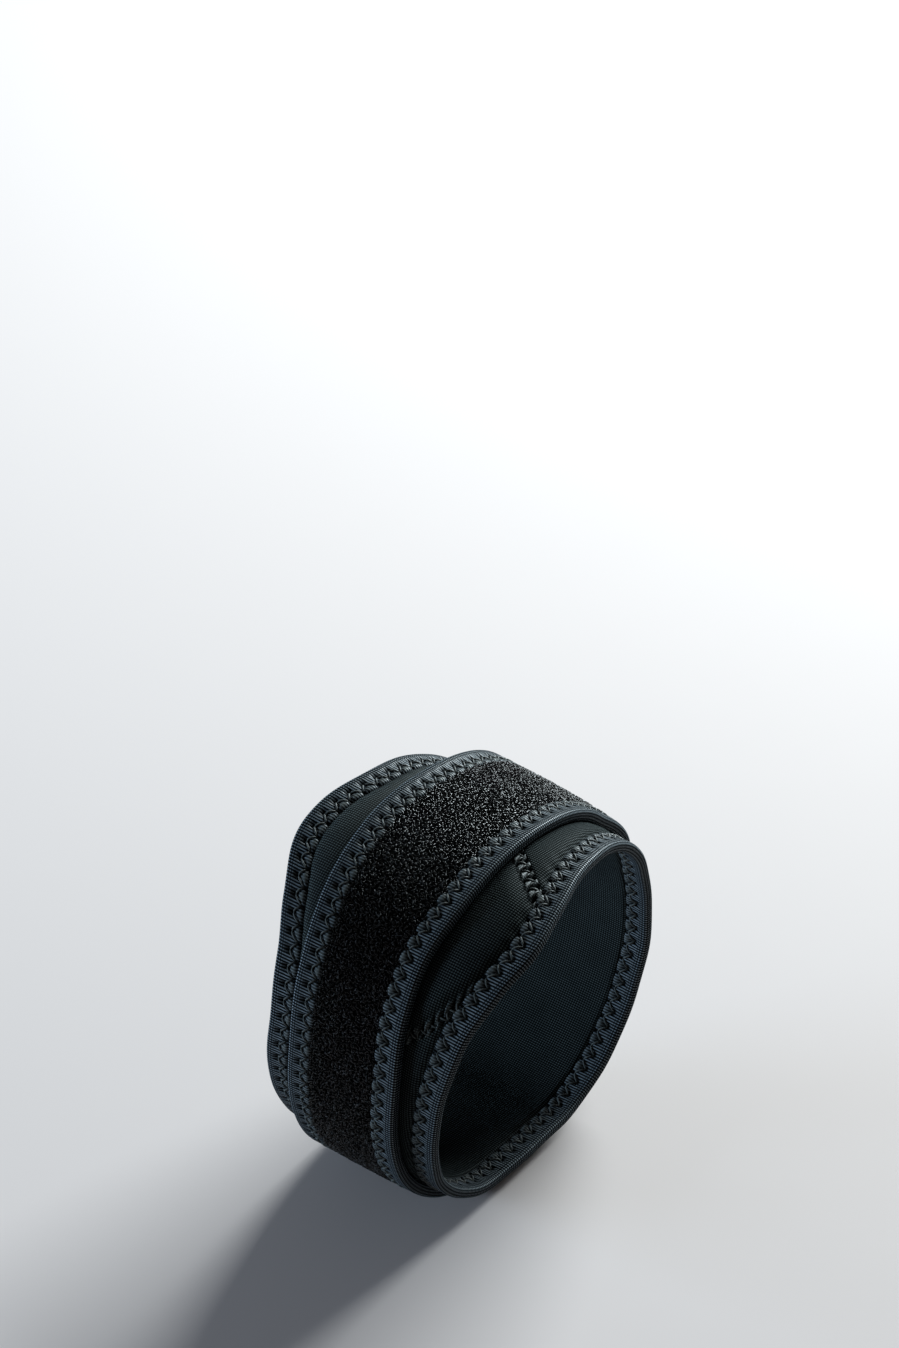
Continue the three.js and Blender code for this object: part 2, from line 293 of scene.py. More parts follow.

# Finishes: grain of the lint in waves per metre, the values of a noise that are spread out, how far
# they mottle the colour, the lint's share of the relief, the relief's depth in millimetres, the
# range of the roughness, constants of the shader, and tones as shares of the base colour. Of the
# tones, the step from groove to thread is painted shade in a weave's grooves, the tone that the
# dark mask mixes in is painted shade, and the tape's crease tone is a painted highlight.
FINISHES = {
    "ribbed_tape": {
        "grain": 2600.0,
        "spread": (0.3, 0.7),
        "mottle": 0.35,
        "lint": 0.3,
        "relief": 0.13,
        "roughness": (0.4, 0.6),
        "shader": {"Specular IOR Level": 0.0, "Coat Roughness": 0.45},
        "tones": {"groove": 0.02, "thread": 3.2, "mottled": 0.45, "painted_crease_highlight": 5.0, "pressed": 0.04},
    },
    "knit_jersey": {
        "grain": 2400.0,
        "spread": (0.3, 0.7),
        "mottle": 0.4,
        "lint": 0.4,
        "relief": 0.08,
        "roughness": (0.5, 0.7),
        "shader": {"Specular IOR Level": 0.0, "Coat Roughness": 0.55},
        "tones": {"groove": 0.03, "thread": 7.0, "mottled": 0.5, "pressed": 0.05},
    },
    "pile_ground": {
        "grain": 1700.0,
        "spread": (0.3, 0.75),
        "relief": 0.5,
        "roughness": (0.75, 0.95),
        "shader": {"Specular IOR Level": 0.1},
        "tones": {"dark": 0.08, "pale": 0.35},
    },
    "loop_yarn": {
        "grain": 3000.0,
        "spread": (0.35, 0.65),
        "mottle": 0.35,
        "relief": 0.03,
        "roughness": (0.12, 0.28),
        "shader": {"Specular IOR Level": 0.85},
        "tones": {"dark": 0.04, "pale": 4.5, "mottled": 0.4},
    },
    "black_thread": {
        "grain": 5000.0,
        "spread": (0.35, 0.65),
        "relief": 0.05,
        "roughness": (0.4, 0.55),
        "shader": {"Specular IOR Level": 0.6},
        "tones": {"dark": 0.5, "pale": 1.3},
    },
    "pale_floor": {
        "grain": 40.0,
        "spread": (0.3, 0.7),
        "mottle": 0.02,
        "relief": 0.001,
        "roughness": (0.85, 0.9),
        "shader": {"Specular IOR Level": 0.1},
        "tones": {"mottled": 0.9, "unseen": 0.5},
    },
}

# Values of a noise that are spread over the roughness, how pale and of which tint the tape's puffs
# are, how much paler the knit's painted light and painted highlights are from groove to thread, and
# how glossy knit is.
ROUGHNESS_SPREAD = (0.3, 0.7)
PUFF_PALENESS = 0.65
PUFF_TINT = (1.6, 1.75, 1.65)
PAINTED_LIGHT_TONES = (1.0, 14.0)
KNIT_GLOSS = 0.25

# Soft lamps: azimuth and elevation in degrees, distance and size in metres, and tint.
LAMPS = {
    "key_lamp": (184, 29, 1.5, (0.9, 0.9), (0.84, 0.95, 0.985)),
    "side_lamp": (-58, 4, 1.2, (0.7, 0.16), (0.6, 0.79, 1.0)),
}

# The stage: where the hoop's middle is along X, in millimetres, half the floor's width in metres
# and the camera's sensor in millimetres.
HOOP_MIDDLE = 3.0
FLOOR_HALF = 6.0
SENSOR_WIDTH = 36.0


def length(name, description, default):
    """A length property that shows in the scene's units."""
    return FloatProperty(
        name=name, description=description, default=default, unit="LENGTH", precision=5
    )


def colour(name, description, default):
    """A linear colour property."""
    return FloatVectorProperty(
        name=name, description=description, default=default, subtype="COLOR", size=3, min=0, max=1
    )


def angle(name, description, degrees):
    """An angle property."""
    return FloatProperty(
        name=name, description=description, default=math.radians(degrees), subtype="ANGLE"
    )


def power(name, description, default):
    """A lamp's power."""
    return FloatProperty(name=name, description=description, default=default, unit="POWER")


class ClothSizes(PropertyGroup):
    """Sizes of the hoop, the cloth and the tape."""

    band_radius: length("Band radius", "Outer radius of the band where it is round", 0.052)
    flat_half_width: length("Flat half width", "Half the width of the flat it rests on", 0.013)
    corner_radius: length("Corner radius", "Radius beside the flat", 0.027)
    band_thickness: length("Band thickness", "Thickness of the padded band", 0.003)
    strap_width: length("Strap width", "Width over both bindings", 0.035)
    strap_thickness: length("Strap thickness", "Thickness with its pile", 0.0034)
    clearance: length("Clearance", "Gap between layers that lie on each other", 0.0003)
    tape_cover: length("Tape cover", "How far the folded tape reaches in from an edge", 0.0075)
    tab_corner: length("Tab corner", "Corner radius of the strap's free end", 0.008)
    pad_crown: length("Pad crown", "Height of the pad over the band", 0.0013)
    strap_start: angle("Strap start", "Turn where the strap is sewn on", 256)
    strap_end: angle("Strap end", "Turn where the free tab ends", 680)
    proximal_lift_start: angle("Proximal lift start", "Turn where this edge leaves the band", 545)
    proximal_lift_end: angle("Proximal lift end", "Turn where it lies over the strap's start", 602)
    distal_lift_start: angle("Distal lift start", "Turn where this edge leaves the band", 586)
    distal_lift_end: angle("Distal lift end", "Turn where it lies over the strap's start", 611)


class StitchSizes(PropertyGroup):
    """Sizes of the zigzag rows."""

    pitch: length("Pitch", "Length of one zig and one zag", 0.0046)
    width: length("Width", "Width of a zigzag row", 0.0024)
    inset: length("Inset", "Middle of a row, in from the edge of the cloth", 0.0051)
    thread: length("Thread", "Thread diameter", 0.0005)
    seam_pitch: length("Seam pitch", "Length of one zig and one zag on the pad's seams", 0.0034)
    seam_width: length("Seam width", "Width of the zigzag on the pad's seams", 0.0026)
    hem: length("Hem", "How far the pad's cloth reaches past the middle of its seams", 0.0027)


class PileSizes(PropertyGroup):
    """Sizes of the strap's loops."""

    spacing: length("Spacing", "Mean distance between loops", 0.00067)
    height: length("Height", "Mean height of a loop", 0.00064)
    span: length("Span", "Mean distance between a loop's feet", 0.00088)
    filament: length("Filament", "Thickness of a loop's yarn", 0.00032)
    seed: IntProperty(name="Seed", description="Start of the random draws", default=7, min=0)


class ClothColours(PropertyGroup):
    """Linear colours of the cloth."""

    jersey: colour("Jersey", "Knit of the band and pad", (0.0108, 0.0134, 0.0136))
    binding: colour("Binding", "Ribs of the folded tape", (0.055, 0.066, 0.074))
    pile: colour("Pile", "Loops of the strap", (0.0140, 0.0145, 0.0150))
    thread: colour("Thread", "Zigzag thread", (0.085, 0.095, 0.092))
    floor: colour("Floor", "Floor under the support", (0.74, 0.665, 0.645))


class StageSettings(PropertyGroup):
    """Camera and light."""

    azimuth: angle("Azimuth", "Camera's azimuth seen from the hoop's middle", 37.82)
    elevation: angle("Elevation", "Camera's elevation seen from the hoop's middle", 39.32)
    distance: length("Distance", "Camera's distance from the hoop's middle", 1.1)
    aim_azimuth: angle("Aim azimuth", "Direction that the camera faces, from +Y", 38.11)
    aim_elevation: angle("Aim elevation", "How far down the camera faces", 35.06)
    lens: FloatProperty(name="Lens", description="Focal length", default=110.35, unit="CAMERA")
    key_power: power("Key", "Power of the key light", 47)
    side_power: power("Side", "Power of the side light", 17)
    sky: FloatProperty(name="Sky", description="Strength of the even light", default=0.06, min=0)


class SupportSettings(PropertyGroup):
    """Everything about the support that a user would change."""

    cloth: PointerProperty(type=ClothSizes)
    stitch: PointerProperty(type=StitchSizes)
    pile: PointerProperty(type=PileSizes)
    colours: PointerProperty(type=ClothColours)
    stage: PointerProperty(type=StageSettings)


def smoothstep(value, low, high):
    """0 below low, 1 above high and smooth between them."""
    share = np.clip((value - low) / (high - low), 0, 1)
    return share * share * (3 - 2 * share)


def bump(distance, reach):
    """1 at no distance, falling smoothly towards 0 past its reach."""
    return np.exp(-np.square(distance / reach))


def blend(first, second, share):
    """The first value where the share is 0 and the second where it is 1."""
    return first + (second - first) * share


def edge_at(column, turn):
    """One column of EDGES at any turn, on a smooth closed curve through its rows."""
    rows = np.array(EDGES, float)
    turns = rows[:, 0]
    values = rows[:, EDGE_COLUMNS.index(column)]
    turns = np.concatenate([turns[-2:] - 360, turns, turns[:3] + 360])
    values = np.concatenate([values[-2:], values, values[:3]])
    slopes = np.zeros_like(values)
    slopes[1:-1] = (values[2:] - values[:-2]) / (turns[2:] - turns[:-2])
    at = np.mod(turn, 360)
    i = np.searchsorted(turns, at, side="right") - 1
    span = turns[i + 1] - turns[i]
    t = (at - turns[i]) / span
    rise = values[i + 1] - values[i]
    start = slopes[i] * span
    end = slopes[i + 1] * span
    bend = 3 * rise - 2 * start - end + t * (start + end - 2 * rise)
    return values[i] + t * (start + t * bend)


def seam_at(column, along, soften=1.5):
    """Turn of one of the pad's seams at a place along X, with its corners eased."""
    rows = np.array(PAD_SEAMS, float)
    values = rows[:, SEAM_COLUMNS.index(column)]
    places = [np.interp(along + shift, rows[:, 0], values) for shift in (-soften, 0, soften)]
    return sum(places) / len(places)


def edge_wave(turn, phase):
    """Slow unevenness of a sewn edge, the same after a whole turn."""
    radians = np.radians(turn)
    return sum(high * np.sin(waves * radians + start + phase) for waves, high, start in EDGE_WAVES)


def weighed(weights, marks):
    """The sum of named marks, each times its weight."""
    return sum(weight * marks[name] for name, weight in weights.items())


def zigzag(run, pitch, width):
    """Distance of a zigzag thread from the middle of its row at a length along it."""
    wave = 1 - np.abs(2 * np.mod(run / pitch, 1.0) - 1)
    return width * (wave - 0.5)


class Support:
    """The support's shape: where any point of its cloth lies. Lengths are millimetres."""

    def __init__(self, settings):
        sizes = settings.cloth
        stitch = settings.stitch
        self.radius = sizes.band_radius / MM
        self.flat = sizes.flat_half_width / MM
        self.corner = sizes.corner_radius / MM
        self.clearance = sizes.clearance / MM
        self.band_thick = sizes.band_thickness / MM
        self.strap_thick = sizes.strap_thickness / MM
        self.strap_half = sizes.strap_width / MM / 2
        self.cover = sizes.tape_cover / MM
        self.tab_corner = sizes.tab_corner / MM
        self.pad_crown = sizes.pad_crown / MM
        self.pitch = stitch.pitch / MM
        self.row_width = stitch.width / MM
        self.inset = stitch.inset / MM
        self.thread = stitch.thread / MM / 2
        self.seam_pitch = stitch.seam_pitch / MM
        self.seam_width = stitch.seam_width / MM
        self.hem = stitch.hem / MM
        self.band_tape_half = self.band_thick / 2 + TAPE_PROUD
        self.strap_tape_half = self.strap_thick / 2 - TAPE_PROUD
        self.corner_drop = math.sqrt((self.radius - self.corner) ** 2 - self.flat**2)
        self.flat_drop = self.corner + self.corner_drop
        self.corner_sweep = math.atan2(self.flat, self.corner_drop)
        self.half_girth = (
            self.flat
            + self.corner * self.corner_sweep
            + self.radius * (math.pi - self.corner_sweep)
        )
        self.per_degree = self.half_girth / 180
        self.strap_outer = self.clearance + self.strap_thick
        self.axis_height = self.flat_drop + self.strap_outer
        self.band_middle = -self.band_thick / 2
        self.start = math.degrees(sizes.strap_start)
        self.end = math.degrees(sizes.strap_end)
        self.lift_from = np.degrees([sizes.proximal_lift_start, sizes.distal_lift_start])
        self.lift_to = np.degrees([sizes.proximal_lift_end, sizes.distal_lift_end])
        self.run_per_degree = self.per_degree * (1 + self.strap_middle(self.end, 0) / self.radius)
        self.strap_run = (self.end - self.start) * self.run_per_degree
        self.band_pitch = 2 * self.half_girth / round(2 * self.half_girth / self.pitch)
        self.side_run = self.strap_run - self.tab_corner
        self.tab_top = 2 * (self.strap_half - self.tab_corner)
        self.band_puffs = round(2 * self.half_girth / self.band_pitch)
        self.puff_lots = np.random.default_rng(PUFF_SEED).uniform(*PUFF_RANGE, self.band_puffs)
        self.outline = 2 * self.side_run + self.tab_corner * math.pi + self.tab_top
        self.strap_pitch = self.outline / round(self.outline / self.pitch)

    def wrap(self, turn, along, offset):
        """Points in metres at turns round the hoop, places along X and offsets out of the band's
        face."""
        way = np.mod(turn, 360) * self.per_degree
        back = way > self.half_girth
        way = np.where(back, 2 * self.half_girth - way, way)
        corner_end = self.flat + self.corner * self.corner_sweep
        tilt = np.clip((way - self.flat) / self.corner, 0, self.corner_sweep)
        tilt = tilt + np.maximum(way - corner_end, 0) / self.radius
        on_round = way > corner_end
        across = np.where(on_round, 0, np.minimum(way, self.flat))
        centre = np.where(on_round, 0, self.corner_drop)
        reach = np.where(on_round, self.radius, self.corner) + offset
        y = -(across + reach * np.sin(tilt))
        z = self.axis_height - centre - reach * np.cos(tilt)
        y = np.where(back, -y, y)
        return np.stack(np.broadcast_arrays(along, y, z), axis=-1) * MM

    def strap_middle(self, turn, across):
        """Offset of the middle of the strap's thickness: on the band, then rising, one edge before
        the other, over the strap's own start."""
        edges = (-self.strap_half, self.strap_half)
        low = np.interp(across, edges, self.lift_from)
        high = np.interp(across, edges, self.lift_to)
        lift = self.strap_outer * smoothstep(turn, low, high)
        return lift + self.clearance + self.strap_thick / 2

    def strap_turn(self, run):
        """Turn at a length along the strap."""
        return self.start + run / self.run_per_degree

    def strap_along(self, turn, across):
        """Place along X of a point across the strap: its margins keep their width and its middle
        stretches."""
        stretch = np.clip(across / (self.strap_half - self.cover), -1, 1)
        return edge_at("strap", turn) + across + edge_at("widening", turn) * stretch

    def wrap_strap(self, run, across, offset):
        """Points of the strap at a length along it, across it and off its middle."""
        turn = self.strap_turn(run)
        wave = STRAP_WAVE_SHARE * edge_wave(turn * STRAP_WAVE_LENGTH, STRAP_WAVE_PHASE)
        along = self.strap_along(turn, across) + wave
        return self.wrap(turn, along, self.strap_middle(turn, across) + offset)

    def strap_free(self, run):
        """0 where the strap lies on the floor and 1 where it is clear of it."""
        turn = np.mod(self.strap_turn(run), 360)
        return smoothstep(np.minimum(turn, 360 - turn), *FLOOR_TURNS)

    def strap_crown(self, run, across):
        """How far the strap's face arches across it, where it is clear of the floor."""
        arch = np.cos(across / self.strap_half * GROUND_CURVE)
        return GROUND_CROWN * self.strap_free(run) * arch

    def strap_inset(self, run, across):
        """How far in from the strap's outline a point lies, round the tab's corners too."""
        to_end = self.strap_run - run
        to_side = self.strap_half - np.abs(across)
        in_corner = np.hypot(
            np.maximum(self.tab_corner - to_end, 0), np.maximum(self.tab_corner - to_side, 0)
        )
        return np.where(
            in_corner > 0, self.tab_corner - in_corner, np.minimum(to_end, to_side)
        )

    def band_edge(self, edge, turn):
        """Place along X of one of the band's edges."""
        return edge_at(edge, turn) + edge_wave(turn, EDGE_PHASES[edge])

    def zigzag_marks(self, run, away, pitch, width):
        """(distance past the thread, distance from the nearest needle, that needle's side) of
        points at a length along a zigzag row and a distance from its middle."""
        past = (away - zigzag(run, pitch, width)) / math.hypot(1, 2 * width / pitch)
        needle = np.round(run / (pitch / 2)) * (pitch / 2)
        tooth = zigzag(needle, pitch, width)
        return past, np.hypot(run - needle, away - tooth), np.sign(tooth)

    def tape_end(self, run, pitch):
        """How far in from its lip the tape ends: a scallop between each two needles of its far
        side."""
        wave = 1 - np.abs(2 * np.mod(run / pitch, 1.0) - 1)
        return self.inset + self.row_width / 2 + SCALLOP_START + SCALLOP_DEPTH * (1 - wave**2)

    def tape_relief(self, run, depth, pitch):
        """(height, painted shade, puff) of stitched tape at a depth from its lip: puffs past the
        thread, a pit at each needle on the lip's side and a slit at each of the others. Pits, slits
        and grooves are painted with shade, and the hollow past the tape's end with shade and the
        dark cloth beneath."""
        away = depth - self.inset
        past, from_needle, side = self.zigzag_marks(run, away, pitch, self.row_width)
        beyond = depth - self.tape_end(run, pitch)
        in_row = smoothstep(away + self.row_width / 2, *ROW_FADE)
        lot = self.puff_lots[np.round(run / pitch).astype(int) % self.band_puffs]
        marks = {
            "puff": lot * smoothstep(past, *PUFF_PAST_THREAD) * smoothstep(-beyond, *PUFF_TO_END),
            "pillow": in_row * bump(past + PILLOW_BEFORE_THREAD, PILLOW_REACH),
            "hollow": smoothstep(beyond, *HOLLOW_PAST_END),
            "groove": in_row * bump(past - GROOVE_PAST_THREAD, GROOVE_REACH),
            "pit": bump(from_needle, PIT_REACH) * (side < 0),
            "slit": bump(from_needle, SLIT_REACH) * (side > 0),
        }
        dark = np.clip(weighed(TAPE_DARKNESS, marks), 0, 1)
        return weighed(TAPE_HEIGHTS, marks), dark, marks["puff"] * (1 - dark)

    def seam_mark(self, run, away):
        """(height, painted shade, painted highlight) of cloth sewn flat with a zigzag: a pit at each
        needle and puffs between them. Pits and the groove along the thread are painted with shade,
        and the puffs are painted paler as highlights."""
        past, from_needle, _ = self.zigzag_marks(run, away, self.seam_pitch, self.seam_width)
        in_row = 1 - smoothstep(np.abs(away) - self.seam_width / 2, *SEAM_FADE)
        cell = run / (self.seam_pitch / 2)
        lot = np.interp(cell, np.arange(self.band_puffs), self.puff_lots)
        marks = {
            "puff": lot * in_row * smoothstep(np.abs(past), *SEAM_PUFF),
            "groove": in_row * bump(past, SEAM_GROOVE_REACH),
            "pit": bump(from_needle, SEAM_PIT_REACH),
            "press": bump(away, SEAM_PRESS_REACH),
        }
        dark = np.clip(weighed(SEAM_PAINTED_SHADE, marks), 0, 1)
        return weighed(SEAM_HEIGHTS, marks), dark, marks["puff"] * (1 - marks["pit"])


def tape_top(half, depth):
    """Offset of the tape's face at a depth from its lip, lower where the stitches press it."""
    return half - TAPE_PRESS * smoothstep(depth, *PRESS_DEPTHS)


def tape_section(half, cover):
    """Section of folded tape as a closed loop of (depth from the lip, offset, face).

    Face is 1 on the outer face, -1 on the inner one and 0 inside the fold.
    """
    outer = np.linspace(cover, LIP_CORNER, OUTER_ROWS)
    inner = np.linspace(LIP_CORNER, cover, INNER_ROWS)
    arc = np.radians(np.linspace(0, 90, CORNER_ROWS)[1:])
    arc_depth = LIP_CORNER * (1 - np.sin(arc))
    arc_offset = half - LIP_CORNER * (1 - np.cos(arc))
    side = np.linspace(half - LIP_CORNER, LIP_CORNER - half, SIDE_ROWS)[1:-1]
    fold = half - TAPE_PRESS - TAPE_WALL
    inside = np.array([[cover, -fold], [FOLD_DEPTH, -fold], [FOLD_DEPTH, fold], [cover, fold]])
    rows = (
        (outer, tape_top(half, outer), 1),
        (arc_depth, arc_offset, 1),
        (0 * side, side, 1),
        (arc_depth[::-1], -arc_offset[::-1], -1),
        (inner, -tape_top(half, inner), -1),
        (*inside.T, 0),
    )
    columns = [np.stack([a, b, np.full(len(a), face)], axis=1) for a, b, face in rows]
    return np.concatenate(columns)


def tape_place(support, section, run, row, pitch):
    """(depth, offset, flat place, masks) of points on a length of stitched tape."""
    girth = np.cumsum(np.concatenate([[0], np.hypot(*np.diff(section[:, :2], axis=0).T)]))
    depth, offset, face = section[row % len(section)].T
    shown = np.abs(face)
    corner = LIP_CORNER * (1 - math.sqrt(0.5))
    half = section[:, 1].max()
    from_crease = np.hypot(depth - corner, half - np.abs(offset) - corner)
    # Painted highlight along the lip's crease, and painted shade on the lip's side face.
    crease = shown * bump(from_crease, CREASE_REACH)
    lip = shown * (1 - smoothstep(depth, *LIP_FADE))
    side = shown * (1 - smoothstep(depth, *SIDE_FADE))
    height, dark, puff = support.tape_relief(run, depth, pitch)
    pattern = np.stack([run, np.append(girth, girth[-1] + 1)[row]], axis=1)
    # The dark mask takes the stronger of the zigzag's painted shade and the side face's painted
    # shade.
    masks = (np.maximum(dark * shown, SIDE_PAINTED_SHADE * side), lip, crease, puff * shown)
    return depth, offset + face * height, pattern, masks


def finish_mesh(bm, name):
    """A smooth-shaded object from a bmesh, linked and at the origin."""
    for face in bm.faces:
        face.smooth = True
    mesh = bpy.data.meshes.new(name)
    bm.to_mesh(mesh)
    bm.free()
    obj = bpy.data.objects.new(name, mesh)
    bpy.context.scene.collection.objects.link(obj)
    return obj


def cloth(name, columns, rows, place, masks=()):
    """A piece of cloth from a flat grid: place gives each vertex its point, its place on the flat
    pattern in millimetres and its masks. Edges that meet are sewn up, and open ends are closed."""
    bm = bmesh.new()
    bmesh.ops.create_grid(bm, x_segments=columns, y_segments=rows, size=0.5)
    layers = [bm.verts.layers.float.new(mask) for mask in masks]
    uv = bm.loops.layers.uv.new(PATTERN)
    bm.verts.index_update()
    share = np.array([vert.co[:2] for vert in bm.verts]) + 0.5
    steps = (np.rint(share[:, 0] * columns).astype(int), np.rint(share[:, 1] * rows).astype(int))
    points, pattern, values = place(*steps)
    pattern = pattern / UV_UNIT
    for vert, point in zip(bm.verts, points):
        vert.co = point
    for layer, column in zip(layers, values):
        for vert, value in zip(bm.verts, column):
            vert[layer] = float(value)
    for face in bm.faces:
        for loop in face.loops:
            loop[uv].uv = pattern[loop.vert.index]
    bmesh.ops.remove_doubles(bm, verts=bm.verts, dist=1e-7)
    ends = [edge for edge in bm.edges if edge.is_boundary]
    if ends:
        bmesh.ops.holes_fill(bm, edges=ends, sides=0)
    bmesh.ops.recalc_face_normals(bm, faces=bm.faces)
    return finish_mesh(bm, name)


def yarn(name, paths, ups, radius, sides, shades=None):
    """Many short strands as one mesh: round tubes with closed ends along paths of like length.

    The rings of all strands are worked out together, since there are tens of thousands of them.
    """
    tangents = np.gradient(paths, axis=1)
    tangents /= np.linalg.norm(tangents, axis=2, keepdims=True)
    side = np.cross(tangents, ups)
    side /= np.linalg.norm(side, axis=2, keepdims=True)
    lift = np.cross(side, tangents)
    turns = np.arange(sides) * 2 * math.pi / sides
    ring = (
        side[:, :, None] * np.cos(turns)[None, None, :, None]
        + lift[:, :, None] * np.sin(turns)[None, None, :, None]
    )
    points = paths[:, :, None] + ring * radius * MM
    count, steps = paths.shape[:2]
    index = np.arange(count * steps * sides).reshape(count, steps, sides)
    onward = np.roll(index, -1, axis=2)
    quads = np.stack([index[:, :-1], onward[:, :-1], onward[:, 1:], index[:, 1:]], axis=-1)
    faces = quads.reshape(-1, 4).tolist()
    faces += index[:, 0, ::-1].tolist()
    faces += index[:, -1].tolist()
    mesh = bpy.data.meshes.new(name)
    mesh.from_pydata(points.reshape(-1, 3).tolist(), [], faces)
    mesh.polygons.foreach_set("use_smooth", np.ones(len(mesh.polygons), bool))
    if shades is not None:
        shade = mesh.attributes.new("shade", "FLOAT", "POINT")
        shade.data.foreach_set("value", np.repeat(shades, steps * sides).astype(np.float32))
    obj = bpy.data.objects.new(name, mesh)
    bpy.context.scene.collection.objects.link(obj)
    return obj


def flat_place(run, across, outer):
    """Places on the flat pattern, with those of an inner face beside the outer face's."""
    return np.stack([run, np.where(outer, across, across + INNER_SHIFT)], axis=1)


def dress(obj, material, nodes=()):
    """Gives a finished piece its material, its body and the solids that it stands for."""
    obj.data.materials.clear()
    obj.data.materials.append(material)
    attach(obj, "root")
    if nodes:
        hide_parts(*nodes)
    return obj


# Shader node groups and materials


def value_socket(group, name, direction, kind="NodeSocketFloat"):
    """Adds a socket to the interface of a node group."""
    return group.interface.new_socket(name=name, in_out=direction, socket_type=kind)


def node_of(tree, kind, **values):
    """A node with its properties and the values of its inputs set by name."""
    node = tree.nodes.new(kind)
    for name, value in values.items():
        if name in node.inputs:
            node.inputs[name].default_value = value
        else:
            setattr(node, name, value)
    return node


def math_node(tree, operation, first, second):
    """The output of a math node on two sockets or numbers."""
    node = tree.nodes.new("ShaderNodeMath")
    node.operation = operation
    for socket, value in zip(node.inputs, (first, second)):
        if isinstance(value, (int, float)):
            socket.default_value = value
        else:
            tree.links.new(value, socket)
    return node.outputs[0]


def rib_group():
    """Ribs across a flat pattern, a little uneven: 0 in the grooves and 1 on the ribs."""
    name = "Cloth Ribs"
    if name in bpy.data.node_groups:
        return bpy.data.node_groups[name]
    group = bpy.data.node_groups.new(name, "ShaderNodeTree")
    value_socket(group, "Pattern", "INPUT", "NodeSocketVector")
    value_socket(group, "Density", "INPUT")
    value_socket(group, "Unevenness", "INPUT")
    value_socket(group, "Height", "OUTPUT")
    inlet = group.nodes.new("NodeGroupInput")
    outlet = group.nodes.new("NodeGroupOutput")
    wave = node_of(group, "ShaderNodeTexWave", **{"Detail": 2.0, "Detail Scale": 2.0})
    wave.wave_type = "BANDS"
    wave.bands_direction = "X"
    group.links.new(inlet.outputs["Pattern"], wave.inputs["Vector"])
    group.links.new(inlet.outputs["Density"], wave.inputs["Scale"])
    group.links.new(inlet.outputs["Unevenness"], wave.inputs["Distortion"])
    group.links.new(wave.outputs["Fac"], outlet.inputs["Height"])
    return group


def mottle_group():
    """Slow and fine unevenness of dyed cloth: a tone from 0 to 1 and specks of lint."""
    name = "Cloth Mottle"
    if name in bpy.data.node_groups:
        return bpy.data.node_groups[name]
    group = bpy.data.node_groups.new(name, "ShaderNodeTree")
    value_socket(group, "Place", "INPUT", "NodeSocketVector")
    value_socket(group, "Grain", "INPUT")
    value_socket(group, "Tone", "OUTPUT")
    value_socket(group, "Fuzz", "OUTPUT")
    inlet = group.nodes.new("NodeGroupInput")
    outlet = group.nodes.new("NodeGroupOutput")
    slow = node_of(group, "ShaderNodeTexNoise", Scale=90.0, Detail=3.0, Roughness=0.6)
    fine = node_of(group, "ShaderNodeTexNoise", Detail=2.0, Roughness=0.7)
    group.links.new(inlet.outputs["Place"], slow.inputs["Vector"])
    group.links.new(inlet.outputs["Place"], fine.inputs["Vector"])
    group.links.new(inlet.outputs["Grain"], fine.inputs["Scale"])
    group.links.new(slow.outputs["Fac"], outlet.inputs["Tone"])
    group.links.new(fine.outputs["Fac"], outlet.inputs["Fuzz"])
    return group


def fresh_material(name):
    """A new material with an empty node tree, that tree, and the finish of its name."""
    material = bpy.data.materials.new(name)
    material.use_nodes = True
    tree = material.node_tree
    tree.nodes.clear()
    return material, tree, FINISHES[name]


def grouped(tree, group, **values):
    """A group node with the values of its inputs set by name."""
    node = tree.nodes.new("ShaderNodeGroup")
    node.node_tree = group
    for name, value in values.items():
        node.inputs[name].default_value = value
    return node


def pattern_of(tree):
    """The cloth's place on its flat pattern."""
    node = tree.nodes.new("ShaderNodeUVMap")
    node.uv_map = PATTERN
    return node.outputs["UV"]


def mask_of(tree, name):
    """One of the masks that a shape gives its material."""
    node = tree.nodes.new("ShaderNodeAttribute")
    node.attribute_name = name
    return node.outputs["Fac"]


def mixed(tree, share, first, second):
    """A colour mix of two sockets or colours."""
    node = tree.nodes.new("ShaderNodeMix")
    node.data_type = "RGBA"
    sockets = (node.inputs[0], node.inputs[6], node.inputs[7])
    for socket, value in zip(sockets, (share, first, second)):
        if isinstance(value, (int, float)):
            socket.default_value = value
        elif isinstance(value, tuple):
            socket.default_value = (*value, 1.0)
        else:
            tree.links.new(value, socket)
    return node.outputs[2]


def ranged(tree, value, low, high, to_low=0.0, to_high=1.0):
    """A value brought from one range into another and kept within it."""
    node = node_of(
        tree,
        "ShaderNodeMapRange",
        **{"From Min": low, "From Max": high, "To Min": to_low, "To Max": to_high},
    )
    tree.links.new(value, node.inputs["Value"])
    return node.outputs["Result"]


def shaded(tree, finish, base, grain, height, gloss=None):
    """Ends a material: a Principled shader with the finish's constants, a roughness that follows a
    grain, a bumped normal and the output."""
    shader = tree.nodes.new("ShaderNodeBsdfPrincipled")
    for name, value in finish["shader"].items():
        shader.inputs[name].default_value = value
    roughness = ranged(tree, grain, *ROUGHNESS_SPREAD, *finish["roughness"])
    tree.links.new(base, shader.inputs["Base Color"])
    tree.links.new(roughness, shader.inputs["Roughness"])
    if gloss is not None:
        tree.links.new(gloss, shader.inputs["Coat Weight"])
    relief = node_of(tree, "ShaderNodeBump", Strength=1.0, Distance=finish["relief"] * MM)
    tree.links.new(height, relief.inputs["Height"])
    tree.links.new(relief.outputs["Normal"], shader.inputs["Normal"])
    output = tree.nodes.new("ShaderNodeOutputMaterial")
    tree.links.new(shader.outputs["BSDF"], output.inputs["Surface"])


def tinted(tree, factor, base):
    """A colour times a varying factor."""
    node = node_of(tree, "ShaderNodeVectorMath", operation="SCALE")
    node.inputs[0].default_value = base
    tree.links.new(factor, node.inputs["Scale"])
    return node.outputs["Vector"]


def scaled(base, factor):
    """A colour times a number."""
    return tuple(channel * factor for channel in base)


def tones_of(finish, base):
    """The named tones of a finish, from its base colour."""
    return {name: scaled(base, share) for name, share in finish["tones"].items()}


